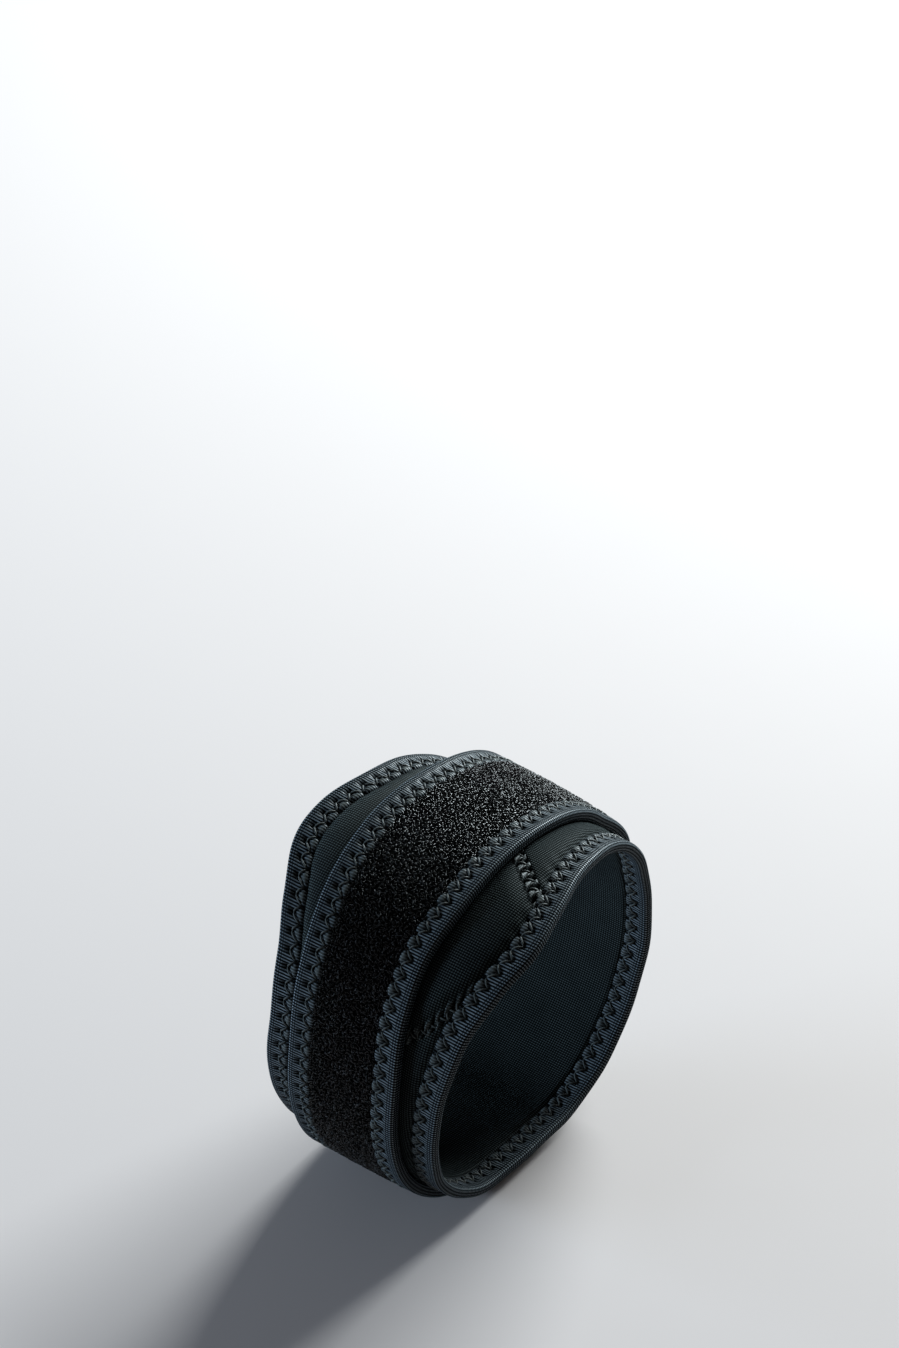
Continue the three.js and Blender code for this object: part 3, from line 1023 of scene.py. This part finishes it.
def weave_of(tree, pattern, name, groove=0.0):
    """One of the weaves along the first axis of a pattern: 1 on its threads, less between them."""
    weave = WEAVES[name]
    density = math.pi / weave["pitch"]
    ribs = grouped(tree, rib_group(), Density=density, Unevenness=weave["unevenness"])
    tree.links.new(pattern, ribs.inputs["Pattern"])
    return ranged(tree, ribs.outputs["Height"], *weave["heights"], groove)


def quarter_turned(tree, pattern):
    """A pattern turned by a right angle, for lines along the cloth."""
    node = node_of(tree, "ShaderNodeMapping", Rotation=(0, 0, math.radians(90)))
    tree.links.new(pattern, node.inputs["Vector"])
    return node.outputs["Vector"]


def mottle_on(tree, finish):
    """(tone, lint) of a finish, at the object's own coordinates."""
    node = grouped(tree, mottle_group(), Grain=finish["grain"])
    place = tree.nodes.new("ShaderNodeTexCoord").outputs["Object"]
    tree.links.new(place, node.inputs["Place"])
    return node.outputs["Tone"], node.outputs["Fuzz"]


def faded(tree, value, share):
    """1 where the share is 0, and the value where it is 1."""
    lost = math_node(tree, "MULTIPLY", share, math_node(tree, "SUBTRACT", 1.0, value))
    return math_node(tree, "SUBTRACT", 1.0, lost)


def mottled(tree, finish, tone, cloth_colour, faded_colour):
    """A colour that fades a little where the cloth's tone is high."""
    share = ranged(tree, tone, *finish["spread"], 0.0, finish["mottle"])
    return mixed(tree, share, cloth_colour, faded_colour)


def linted(tree, finish, weave, fuzz):
    """Height of a weave with the finish's lint on it."""
    return math_node(tree, "ADD", weave, math_node(tree, "MULTIPLY", fuzz, finish["lint"]))


def ribbed_tape(base):
    """Charcoal binding tape: ribs across it with painted shade in their grooves, lines along its
    lip, grey puffs between needle holes darkened with painted shade, painted shade on the lip's side
    and a painted highlight along its crease."""
    material, tree, finish = fresh_material("ribbed_tape")
    tones = tones_of(finish, base)
    pattern = pattern_of(tree)
    rib = weave_of(tree, pattern, "rib")
    line = weave_of(tree, quarter_turned(tree, pattern), "lip_line", LINE_GROOVE)
    tone, fuzz = mottle_on(tree, finish)
    weave = math_node(tree, "MULTIPLY", rib, faded(tree, line, mask_of(tree, "lip")))
    # Painted shade in the grooves between the ribs: the groove tone is far darker than the threads'.
    cloth_colour = mixed(tree, weave, tones["groove"], tones["thread"])
    puff = math_node(tree, "MULTIPLY", mask_of(tree, "light"), PUFF_PALENESS)
    cloth_colour = mixed(tree, puff, cloth_colour, scaled(PUFF_TINT, sum(base) / 3))
    cloth_colour = mottled(tree, finish, tone, cloth_colour, tones["mottled"])
    # Painted highlight along the lip's crease, strongest on the ribs.
    painted_crease_highlight = math_node(tree, "MULTIPLY", mask_of(tree, "crease"), weave)
    cloth_colour = mixed(tree, painted_crease_highlight, cloth_colour, tones["painted_crease_highlight"])
    # Painted shade from the dark mask, in needle holes and grooves and on the lip's side face, and
    # the dark cloth past the tape's scallops.
    pressed = mask_of(tree, "dark")
    cloth_colour = mixed(tree, pressed, cloth_colour, tones["pressed"])
    gloss = math_node(tree, "MULTIPLY", weave, math_node(tree, "SUBTRACT", 1.0, pressed))
    shaded(tree, finish, cloth_colour, fuzz, linted(tree, finish, weave, fuzz), gloss)
    return material


def knit_jersey(base):
    """Fine black knit over foam: a close mesh of wales and courses, with painted shade between them.
    """
    material, tree, finish = fresh_material("knit_jersey")
    tones = tones_of(finish, base)
    pattern = pattern_of(tree)
    wale = weave_of(tree, pattern, "wale")
    course = weave_of(tree, quarter_turned(tree, pattern), "course")
    tone, fuzz = mottle_on(tree, finish)
    knit = math_node(tree, "MULTIPLY", wale, course)
    # Painted shade between the knit's wales and courses.
    cloth_colour = mixed(tree, knit, tones["groove"], tones["thread"])
    cloth_colour = mottled(tree, finish, tone, cloth_colour, tones["mottled"])
    # Painted light on the band's proximal side and painted highlights on the seams' puffs.
    light = mask_of(tree, "light")
    paler = ranged(tree, knit, 0.0, 1.0, *PAINTED_LIGHT_TONES)
    cloth_colour = mixed(tree, light, cloth_colour, tinted(tree, paler, base))
    # Painted shade from the dark mask, in the seams' needle holes and grooves.
    pressed = mask_of(tree, "dark")
    cloth_colour = mixed(tree, pressed, cloth_colour, tones["pressed"])
    sheen = math_node(tree, "ADD", ranged(tree, knit, 0.0, 1.0, 0.0, KNIT_GLOSS), light)
    gloss = math_node(tree, "MULTIPLY", sheen, math_node(tree, "SUBTRACT", 1.0, pressed))
    shaded(tree, finish, cloth_colour, fuzz, linted(tree, finish, knit, fuzz), gloss)
    return material


def pile_ground(base):
    """The dark ground cloth under the loops."""
    material, tree, finish = fresh_material("pile_ground")
    tones = tones_of(finish, base)
    _, fuzz = mottle_on(tree, finish)
    share = ranged(tree, fuzz, *finish["spread"])
    cloth_colour = mixed(tree, share, tones["dark"], tones["pale"])
    shaded(tree, finish, cloth_colour, fuzz, fuzz)
    return material


def loop_yarn(base):
    """The loops of the pile, each of its own tone and glossy where the light catches it."""
    material, tree, finish = fresh_material("loop_yarn")
    tones = tones_of(finish, base)
    tone, fuzz = mottle_on(tree, finish)
    cloth_colour = mixed(tree, mask_of(tree, "shade"), tones["dark"], tones["pale"])
    cloth_colour = mottled(tree, finish, tone, cloth_colour, tones["mottled"])
    shaded(tree, finish, cloth_colour, fuzz, fuzz)
    return material


def black_thread(base):
    """Twisted sewing thread."""
    material, tree, finish = fresh_material("black_thread")
    tones = tones_of(finish, base)
    tone, fuzz = mottle_on(tree, finish)
    share = ranged(tree, fuzz, *finish["spread"])
    cloth_colour = mixed(tree, share, tones["dark"], tones["pale"])
    shaded(tree, finish, cloth_colour, tone, fuzz)
    return material


def material_of(name, make, base):
    """A material made once and shared by the pieces that have its finish."""
    return bpy.data.materials.get(name) or make(tuple(base))


# Cloth of the band


def spaced(stretches):
    """Places along stretches of (from, to, steps), each place once."""
    places = [np.linspace(low, high, steps + 1)[1:] for low, high, steps in stretches]
    return np.concatenate([[stretches[0][0]], *places])


def margined(depths, shares):
    """Rows of a strip with even margins: (depth from its low side, depth from its high side, share
    of the way between the margins). A depth of -1 is unused."""
    rows = [(depth, -1, 0) for depth in depths]
    rows += [(-1, -1, share) for share in shares]
    rows += [(-1, depth, 1) for depth in reversed(depths)]
    return np.array(rows, float)


def across_strip(rows, low, high, margin):
    """Places of margined rows between the low and the high side of a strip."""
    near, far, share = rows.T
    between = low + margin + share * (high - low - 2 * margin)
    return np.where(near >= 0, low + near, np.where(far >= 0, high - far, between))


def band_section():
    """Rows of the band's closed section, and 1 for its outer face or -1 for its inner one."""
    outer = margined(MARGIN_DEPTHS, spaced(BAND_SHARES)[1:-1])
    inner = margined(MARGIN_DEPTHS, np.linspace(0, 1, BAND_INNER_ROWS)[1:-1])
    faces = np.repeat([1, -1], [len(outer), len(inner)])
    return np.concatenate([outer, inner[::-1]]), faces


def crown(along, low, high, rise):
    """A soft arch between two places, higher the wider they are apart."""
    width = np.maximum(high - low, NARROWEST_CROWN)
    return rise * width * np.sin(math.pi * np.clip((along - low) / width, 0, 1))


def seam_line(support, seam):
    """The middle of one of the pad's seams: turns, places along X and lengths along it."""
    along = np.linspace(*SEAM_SPAN, SEAM_STEPS)
    turn = seam_at(seam, along)
    steps = np.hypot(np.diff(turn) * support.per_degree, np.diff(along))
    return turn, along, np.concatenate([[0], np.cumsum(steps)])


def seam_needles(support, seam):
    """Needle places of the zigzag along one of the pad's seams, as (turn, along) rows."""
    turn, along, run = seam_line(support, seam)
    inside = along < support.band_edge("distal", turn) - support.cover + SEAM_UNDER_TAPE
    at = np.arange(0, run[inside][-1], support.seam_pitch / 2)
    round_hoop = np.interp(at, run, turn * support.per_degree)
    centre = np.stack([round_hoop, np.interp(at, run, along)], axis=1)
    tangent = np.gradient(centre, axis=0)
    tangent /= np.linalg.norm(tangent, axis=1, keepdims=True)
    away = zigzag(at, support.seam_pitch, support.seam_width)[:, None]
    needles = centre + away * np.stack([tangent[:, 1], -tangent[:, 0]], axis=1)
    needles[:, 0] /= support.per_degree
    return needles


def seam_place(support, seam, turn, along):
    """(length along one of the pad's seams, distance from its middle) of points of the cloth."""
    _, line_along, line_run = seam_line(support, seam)
    slope = (seam_at(seam, along + 0.5) - seam_at(seam, along - 0.5)) * support.per_degree
    away = (turn - seam_at(seam, along)) * support.per_degree / np.hypot(1, slope)
    return np.interp(along, line_along, line_run), away


def seam_relief(support, turn, along):
    """(height, painted shade, painted highlight on the puffs) that the zigzags along the pad's two
    seams give its cloth.
    """
    lower, upper = (support.seam_mark(*seam_place(support, seam, turn, along)) for seam in SEAMS)
    on_wrist_side = smoothstep(along, *SEAM_START)
    return tuple((low + high) * on_wrist_side for low, high in zip(lower, upper))


def tape_dip(support, run, from_tape):
    """Height of cloth beside a stitched tape: pressed down, and puckered between its needles."""
    clear = np.maximum(from_tape, 0)
    pucker = np.cos(2 * math.pi * run / support.band_pitch)
    return PUCKER * pucker * bump(clear, PUCKER_REACH) - TAPE_DIP * bump(clear, TAPE_DIP_REACH)


def band_relief(support, turn, along):
    """Height of the band's outer face: pressed by tape and seams, crowned beside the strap."""
    proximal = support.band_edge("proximal", turn) + support.cover
    distal = support.band_edge("distal", turn) - support.cover
    to_strap = support.strap_along(turn, -support.strap_half) + CROWN_LAP
    from_strap = support.strap_along(turn, support.strap_half) - CROWN_LAP
    height = crown(along, proximal, to_strap, CROWN_SHARES["proximal"])
    height += crown(along, from_strap, distal, CROWN_SHARES["distal"])
    from_tape = np.minimum(along - proximal, distal - along)
    height += tape_dip(support, turn * support.per_degree, from_tape)
    for seam in SEAMS:
        away = seam_place(support, seam, turn, along)[1]
        pressed = bump(away, SEAM_PRESS_REACH) * smoothstep(along, *SEAM_START)
        height += SEAM_HEIGHTS["press"] * pressed
    return height


def in_pad(support, turn, along):
    """How far inside the middle of the pad's seams a point lies, negative outside them."""
    inside = np.minimum(turn - seam_at("lower", along), seam_at("upper", along) - turn)
    return np.minimum(inside * support.per_degree, along - PAD_SEAMS[0][0])


def make_band(support, material):
    """The band: a closed ring, full in the middle and pressed thin inside its bindings."""
    rows, faces = band_section()
    turns = spaced(BAND_TURNS)

    def place(column, row):
        turn = turns[column]
        face = faces[row % len(rows)]
        proximal = support.band_edge("proximal", turn)
        distal = support.band_edge("distal", turn)
        along = across_strip(rows[row % len(rows)], proximal, distal, MARGIN_DEPTHS[-1])
        depth = np.minimum(along - proximal, distal - along)
        full = smoothstep(depth, *FULL_DEPTHS)
        half = blend(BAND_PRESSED_HALF, support.band_thick / 2, full)
        bed = PAD_BED * smoothstep(in_pad(support, turn, along) + support.hem, *PAD_BED_EASE)
        relief = band_relief(support, turn, along) - bed
        outer = half + relief * smoothstep(depth, *RELIEF_DEPTHS)
        offset = support.band_middle + np.where(face > 0, outer, -half)
        pattern = flat_place(turn * support.per_degree, along, face > 0)
        # Painted light on the outer face, rising from a little way past the strap's proximal edge.
        to_strap = support.strap_along(turn, -support.strap_half) - along
        painted_light = PAINTED_LIGHT_SHARE * smoothstep(to_strap, 0, PAINTED_LIGHT_REACH) * (face > 0)
        return support.wrap(turn, along, offset), pattern, (np.zeros_like(turn), painted_light)

    obj = cloth("band_cloth", len(turns) - 1, len(rows), place, JERSEY_MASKS)
    return dress(obj, material, ["band_body"])


def make_pad(support, material):
    """The pad: a crowned panel sewn down along two seams, tucked under the strap and the tape."""
    margins = np.linspace(0, PAD_MARGIN, PAD_MARGIN_ROWS)
    columns = margined(margins, np.linspace(0, 1, PAD_MIDDLE_ROWS)[1:-1])
    rows = spaced(PAD_SHARES)
    section = np.concatenate([rows, rows[::-1]])
    inner = PAD_SEAMS[0][0]

    def place(column, row):
        row = row % len(section)
        under = row >= len(rows)
        turn = np.full(len(column), PAD_MIDDLE_TURN)
        for _ in range(PAD_ROUNDS):
            along = blend(inner, support.band_edge("distal", turn) - PAD_TUCK, section[row])
            low = seam_at("lower", along) * support.per_degree - support.hem
            high = seam_at("upper", along) * support.per_degree + support.hem
            run = across_strip(columns[column], low, high, PAD_MARGIN)
            turn = run / support.per_degree
        strap_edge = support.strap_along(turn, support.strap_half)
        tape_edge = support.band_edge("distal", turn) - support.cover
        inside = in_pad(support, turn, along)
        width = np.clip((along - strap_edge) / (tape_edge - strap_edge), 0, 1)
        arch = np.sin(math.pi * width) ** CROWN_FULLNESS
        height = support.pad_crown * arch * smoothstep(inside, *PAD_RISE)
        sewn, dark, puff = seam_relief(support, turn, along)
        height += sewn + tape_dip(support, run, tape_edge - along)
        height -= HEM_PRESS * bump(inside + support.hem, HEM_REACH)
        height -= STRAP_DENT * (1 - smoothstep(along - strap_edge, *STRAP_DENT_EASE))
        in_tape = smoothstep(along - tape_edge, *IN_TAPE_EASE)
        height = blend(np.maximum(height, PAD_LOWEST), IN_TAPE_TOP, in_tape)
        floor = np.minimum(PAD_UNDERSIDE + IN_TAPE_RISE * in_tape, height - PAD_THINNEST)
        sewn_up = (column == 0) | (column == len(columns) - 1)
        height = np.where(under & ~sewn_up, floor, height)
        pattern = flat_place(run, along, ~under)
        # Masks of the outer face: the seams' painted shade and the painted highlights on their
        # puffs.
        return support.wrap(turn, along, height), pattern, (dark * ~under, puff * ~under)

    obj = cloth("pad_cloth", len(columns) - 1, len(section), place, JERSEY_MASKS)
    return dress(obj, material, ["pad_panel"])


def make_band_binding(support, edge, material):
    """Tape folded over one edge of the band, all the way round."""
    section = tape_section(support.band_tape_half, support.cover)

    def place(column, row):
        turn = column / BAND_TAPE_COLUMNS * 360.0
        run = turn * support.per_degree
        depth, offset, pattern, masks = tape_place(support, section, run, row, support.band_pitch)
        along = support.band_edge(edge, turn) + INWARD[edge] * depth
        return support.wrap(turn, along, support.band_middle + offset), pattern, masks

    obj = cloth(f"band_tape_{edge}", BAND_TAPE_COLUMNS, len(section), place, TAPE_MASKS)
    return dress(obj, material, [f"band_binding_{edge}"])


# Cloth of the strap


def strap_outline(support, run):
    """Points along the strap's outline: (length along the strap, across it, and the way in)."""
    quarter = support.tab_corner * math.pi / 2
    back = run > support.outline / 2
    way = np.where(back, support.outline - run, run)
    turn = np.clip((way - support.side_run) / support.tab_corner, 0, math.pi / 2)
    along = np.minimum(way, support.side_run) + support.tab_corner * np.sin(turn)
    across = support.strap_half - support.tab_corner * (1 - np.cos(turn))
    across = across - np.maximum(way - support.side_run - quarter, 0)
    sign = np.where(back, 1.0, -1.0)
    return along, sign * across, -np.sin(turn), -sign * np.cos(turn)


def make_strap(support, material):
    """The strap's ground cloth: full in the middle, pressed thin along its edges and its tab."""
    straight = np.linspace(0, support.side_run, STRAP_COLUMNS)
    corner = support.tab_corner - STRAP_LIP
    corner_turn = np.linspace(0, math.pi / 2, STRAP_CORNER_COLUMNS)[1:]
    runs = np.concatenate([straight, straight[-1] + corner * np.sin(corner_turn)])
    halves = np.full(len(runs), support.strap_half - STRAP_LIP)
    halves[len(straight) :] -= corner * (1 - np.cos(corner_turn))
    outer = np.linspace(-1, 1, STRAP_OUTER_ROWS)
    inner = np.linspace(1, -1, STRAP_INNER_ROWS)
    shares = np.concatenate([outer, inner])
    faces = np.repeat([1, -1], [len(outer), len(inner)])

    def place(column, row):
        row = row % len(shares)
        run = runs[column]
        across = shares[row] * halves[column]
        face = faces[row]
        full = smoothstep(support.strap_inset(run, across), *FULL_DEPTHS)
        top = blend(STRAP_PRESSED_HALF, GROUND_TOP + support.strap_crown(run, across), full)
        bottom = blend(STRAP_PRESSED_HALF, support.strap_thick / 2, full)
        offset = np.where(face > 0, top, -bottom)
        pattern = flat_place(run, across, face > 0)
        return support.wrap_strap(run, across, offset), pattern, ()

    obj = cloth("strap_cloth", len(runs) - 1, len(shares), place)
    return dress(obj, material, ["strap_body"])


def make_pile(support, pile, name, part, material):
    """The loops on one stretch of the strap, at jittered places and in every direction."""
    random = np.random.default_rng(pile.seed + part[0])
    spacing = pile.spacing / MM
    half = support.strap_half - support.inset + support.row_width / 2
    first, last = ((turn - support.start) * support.run_per_degree for turn in part)
    runs, acrosses = np.meshgrid(
        np.arange(first, min(last, support.strap_run), spacing), np.arange(-half, half, spacing)
    )
    run = runs.ravel() + random.uniform(-0.5, 0.5, runs.size) * spacing
    across = acrosses.ravel() + random.uniform(-0.5, 0.5, runs.size) * spacing
    tape_end = support.tape_end(run, support.strap_pitch)
    keep = support.strap_inset(run, across) > tape_end - LOOP_LAP
    run = run[keep]
    across = across[keep]
    count = len(run)
    heading = random.uniform(0, 2 * math.pi, count)
    span = pile.span / MM * random.uniform(*LOOP_SPANS, count)
    tall = pile.height / MM * random.uniform(*LOOP_HEIGHTS, count)
    lean = random.uniform(-LOOP_LEAN, LOOP_LEAN, count)
    step = np.linspace(0, math.pi, LOOP_STEPS)
    reach = -np.cos(step)[None] * span[:, None] / 2
    sway = np.sin(step)[None] * lean[:, None]
    rise = np.sin(step)[None] * tall[:, None] - LOOP_FOOT
    ahead = np.cos(heading)[:, None]
    aside = np.sin(heading)[:, None]
    flat_run = run[:, None] + reach * ahead - sway * aside
    flat_across = across[:, None] + reach * aside + sway * ahead
    clear = smoothstep(support.strap_inset(run, across) - support.cover, *LOOP_EDGE)[:, None]
    ground = GROUND_TOP + support.strap_crown(run[:, None], flat_across) - LOOP_DROP * (1 - clear)
    paths = support.wrap_strap(flat_run, flat_across, ground + rise)
    ups = support.wrap_strap(flat_run, flat_across, ground + rise + 1) - paths
    shades = random.uniform(0, 1, count) ** LOOP_PALENESS
    obj = yarn(name, paths, ups, pile.filament / MM / 2, LOOP_SIDES, shades)
    return dress(obj, material)


def make_strap_binding(support, material):
    """Tape folded over the strap's edges, from its sewn start round the tab and back."""
    section = tape_section(support.strap_tape_half, support.cover)
    columns = int(support.outline / STRAP_TAPE_STEP)

    def place(column, row):
        run = column / columns * support.outline
        depth, offset, pattern, masks = tape_place(support, section, run, row, support.strap_pitch)
        along, across, in_along, in_across = strap_outline(support, run)
        points = support.wrap_strap(along + in_along * depth, across + in_across * depth, offset)
        return points, pattern, masks

    obj = cloth("strap_tape", columns, len(section), place, TAPE_MASKS)
    return dress(obj, material, ["strap_binding"])


# Stitches


def zigzag_paths(needles, place):
    """Thread paths from needle to needle: place maps rows of two flat coordinates and a height."""
    share = np.linspace(0, 1, THREAD_STEPS)[None, :, None]
    flat = needles[:-1, None] * (1 - share) + needles[1:, None] * share
    arch = THREAD_ARCH * np.sin(math.pi * share[..., 0]) ** THREAD_FULLNESS - THREAD_DIVE
    low = place(flat[..., 0], flat[..., 1], arch)
    high = place(flat[..., 0], flat[..., 1], arch + 1)
    return low, high - low


def tape_needles(support, total, pitch, closed):
    """Needle places (length along, depth from the lip) of the zigzag on a length of tape."""
    run = np.arange(0, round(2 * total / pitch) + 1) * pitch / 2
    if not closed:
        run = run[1:-1]
    depth = support.inset + zigzag(run, pitch, support.row_width)
    return np.stack([run, depth], axis=1)


def joined(rows):
    """Several sets of paths and their ups as one set."""
    return tuple(np.concatenate(parts) for parts in zip(*rows))


def band_rows(support):
    """Thread paths of the zigzags on both faces of the band's two bindings."""
    needles = tape_needles(support, 2 * support.half_girth, support.band_pitch, True)
    rows = []
    for edge, inward in INWARD.items():
        for face in (1, -1):

            def place(run, depth, height, edge=edge, inward=inward, face=face):
                turn = run / support.per_degree
                along = support.band_edge(edge, turn) + inward * depth
                offset = face * (tape_top(support.band_tape_half, depth) + height)
                return support.wrap(turn, along, support.band_middle + offset)

            rows.append(zigzag_paths(needles, place))
    return joined(rows)


def strap_rows(support):
    """Thread paths of the zigzag on the outer face of the strap's binding."""
    needles = tape_needles(support, support.outline, support.strap_pitch, False)

    def place(run, depth, height):
        along, across, in_along, in_across = strap_outline(support, run)
        top = tape_top(support.strap_tape_half, depth) + height
        return support.wrap_strap(along + in_along * depth, across + in_across * depth, top)

    return zigzag_paths(needles, place)


def seam_rows(support):
    """Thread paths of the zigzags along the pad's two seams."""

    def place(turn, along, height):
        return support.wrap(turn, along, height - SEAM_THREAD_DEPTH)

    return joined([zigzag_paths(seam_needles(support, seam), place) for seam in SEAMS])


def make_stitches(support, material):
    """Every zigzag row that shows: on the band's bindings, the strap's binding and the seams."""
    pieces = (
        ("band_stitches", band_rows, "binding"),
        ("strap_stitches", strap_rows, "binding"),
        ("seam_stitches", seam_rows, "jersey"),
    )
    for name, rows, slot in pieces:
        obj = yarn(name, *rows(support), support.thread, THREAD_SIDES)
        dress(obj, material)


# Stage


def look(azimuth, elevation):
    """The unit vector from a target back towards a camera or lamp at these angles."""
    return Vector(
        (
            math.sin(azimuth) * math.cos(elevation),
            -math.cos(azimuth) * math.cos(elevation),
            math.sin(elevation),
        )
    )


def faced(place, direction):
    """The transform of a lamp or camera at a place, looking in a direction."""
    return Matrix.Translation(place) @ direction.to_track_quat("-Z", "Y").to_matrix().to_4x4()


def area_light(name, target, energy):
    """One of the soft lamps, facing the target."""
    azimuth, elevation, distance, size, tint = LAMPS[name]
    data = bpy.data.lights.new(name, "AREA")
    data.shape = "RECTANGLE"
    data.size, data.size_y = size
    data.energy = energy
    data.color = tint
    lamp = bpy.data.objects.new(name, data)
    back = look(math.radians(azimuth), math.radians(elevation))
    lamp.matrix_world = faced(target + back * distance, -back)
    bpy.context.scene.collection.objects.link(lamp)
    return lamp


def pale_floor(base):
    """Plain pale matt floor with the faintest grain, which throws little light back up."""
    material, tree, finish = fresh_material("pale_floor")
    tones = tones_of(finish, base)
    _, fuzz = mottle_on(tree, finish)
    grain = mottled(tree, finish, fuzz, base, tones["mottled"])
    seen = tree.nodes.new("ShaderNodeLightPath").outputs["Is Camera Ray"]
    floor_colour = mixed(tree, seen, tones["unseen"], grain)
    shaded(tree, finish, floor_colour, fuzz, fuzz)
    return material


def make_stage(settings):
    """Floor, even light, two soft lamps and the camera."""
    stage = settings.stage
    support = Support(settings)
    bm = bmesh.new()
    bmesh.ops.create_grid(bm, x_segments=1, y_segments=1, size=FLOOR_HALF)
    floor = finish_mesh(bm, "floor")
    floor.data.materials.append(pale_floor(tuple(settings.colours.floor)))

    scene = bpy.context.scene
    world = bpy.data.worlds.new("even_light")
    world.use_nodes = True
    background = world.node_tree.nodes["Background"]
    background.inputs["Color"].default_value = (1.0, 1.0, 1.0, 1.0)
    background.inputs["Strength"].default_value = stage.sky
    scene.world = world

    middle = Vector((HOOP_MIDDLE, 0.0, support.axis_height)) * MM
    area_light("key_lamp", middle, stage.key_power)
    side = area_light("side_lamp", middle, stage.side_power)
    side.visible_glossy = False

    data = bpy.data.cameras.new("camera")
    data.sensor_width = SENSOR_WIDTH
    data.lens = stage.lens
    camera = bpy.data.objects.new("camera", data)
    place = middle + look(stage.azimuth, stage.elevation) * stage.distance
    camera.matrix_world = faced(place, -look(stage.aim_azimuth, stage.aim_elevation))
    scene.collection.objects.link(camera)
    scene.camera = camera
    scene.view_settings.view_transform = "Standard"


# Operators


class ELBOW_OT_band(Operator):
    """Make the padded band and the crowned pad set into it"""

    bl_idname = "elbow_support.band"
    bl_label = "Band and pad"

    def execute(self, context):
        settings = context.scene.elbow_support
        support = Support(settings)
        jersey = material_of("knit_jersey", knit_jersey, settings.colours.jersey)
        make_band(support, jersey)
        make_pad(support, jersey)
        return {"FINISHED"}


class ELBOW_OT_band_bindings(Operator):
    """Make the ribbed tape folded over the band's two edges"""

    bl_idname = "elbow_support.band_bindings"
    bl_label = "Band bindings"

    def execute(self, context):
        settings = context.scene.elbow_support
        support = Support(settings)
        tape = material_of("ribbed_tape", ribbed_tape, settings.colours.binding)
        for edge in INWARD:
            make_band_binding(support, edge, tape)
        return {"FINISHED"}


class ELBOW_OT_strap(Operator):
    """Make the strap's ground cloth and its loops"""

    bl_idname = "elbow_support.strap"
    bl_label = "Strap and pile"

    def execute(self, context):
        settings = context.scene.elbow_support
        support = Support(settings)
        ground = material_of("pile_ground", pile_ground, settings.colours.pile)
        yarn_material = material_of("loop_yarn", loop_yarn, settings.colours.pile)
        make_strap(support, ground)
        for name, part in PILE_PARTS.items():
            make_pile(support, settings.pile, name, part, yarn_material)
        return {"FINISHED"}


class ELBOW_OT_strap_binding(Operator):
    """Make the ribbed tape folded over the strap's edges and tab"""

    bl_idname = "elbow_support.strap_binding"
    bl_label = "Strap binding"

    def execute(self, context):
        settings = context.scene.elbow_support
        tape = material_of("ribbed_tape", ribbed_tape, settings.colours.binding)
        make_strap_binding(Support(settings), tape)
        return {"FINISHED"}


class ELBOW_OT_stitches(Operator):
    """Make the zigzag rows of thread"""

    bl_idname = "elbow_support.stitches"
    bl_label = "Stitches"

    def execute(self, context):
        settings = context.scene.elbow_support
        thread = material_of("black_thread", black_thread, settings.colours.thread)
        make_stitches(Support(settings), thread)
        return {"FINISHED"}


class ELBOW_OT_declare(Operator):
    """Does nothing and finishes at once"""

    bl_idname = "elbow_support.declare"
    bl_label = "State the cloth"

    def execute(self, context):
        return {"FINISHED"}


class ELBOW_OT_stage(Operator):
    """Make the floor, the lamps and the camera"""

    bl_idname = "elbow_support.stage"
    bl_label = "Stage"

    def execute(self, context):
        make_stage(context.scene.elbow_support)
        return {"FINISHED"}


OPERATORS = (
    ELBOW_OT_stage,
    ELBOW_OT_band,
    ELBOW_OT_band_bindings,
    ELBOW_OT_strap,
    ELBOW_OT_strap_binding,
    ELBOW_OT_stitches,
    ELBOW_OT_declare,
)


class ELBOW_PT_support(Panel):
    """Lists the steps and sizes of the elbow support."""

    bl_idname = "ELBOW_PT_support"
    bl_label = "Elbow Support"
    bl_space_type = "VIEW_3D"
    bl_region_type = "UI"
    bl_category = "Elbow Support"

    def draw(self, context):
        layout = self.layout
        for operator in OPERATORS:
            layout.operator(operator.bl_idname)
        for part in ("cloth", "stitch", "pile", "colours", "stage"):
            group = getattr(context.scene.elbow_support, part)
            box = layout.box()
            for name in group.bl_rna.properties.keys():
                if name not in {"rna_type", "name"}:
                    box.prop(group, name)


CLASSES = (
    ClothSizes,
    StitchSizes,
    PileSizes,
    ClothColours,
    StageSettings,
    SupportSettings,
    *OPERATORS,
    ELBOW_PT_support,
)


def register():
    """Registers the classes and adds the settings to scenes."""
    for cls in CLASSES:
        bpy.utils.register_class(cls)
    bpy.types.Scene.elbow_support = PointerProperty(type=SupportSettings)


def unregister():
    """Takes the settings and the classes away again."""
    del bpy.types.Scene.elbow_support
    for cls in reversed(CLASSES):
        bpy.utils.unregister_class(cls)


def main():
    """Makes every piece and the stage."""
    register()
    bpy.ops.elbow_support.stage()
    bpy.ops.elbow_support.band()
    bpy.ops.elbow_support.band_bindings()
    bpy.ops.elbow_support.strap()
    bpy.ops.elbow_support.strap_binding()
    bpy.ops.elbow_support.stitches()
    bpy.ops.elbow_support.declare()


if __name__ == "__main__":
    main()
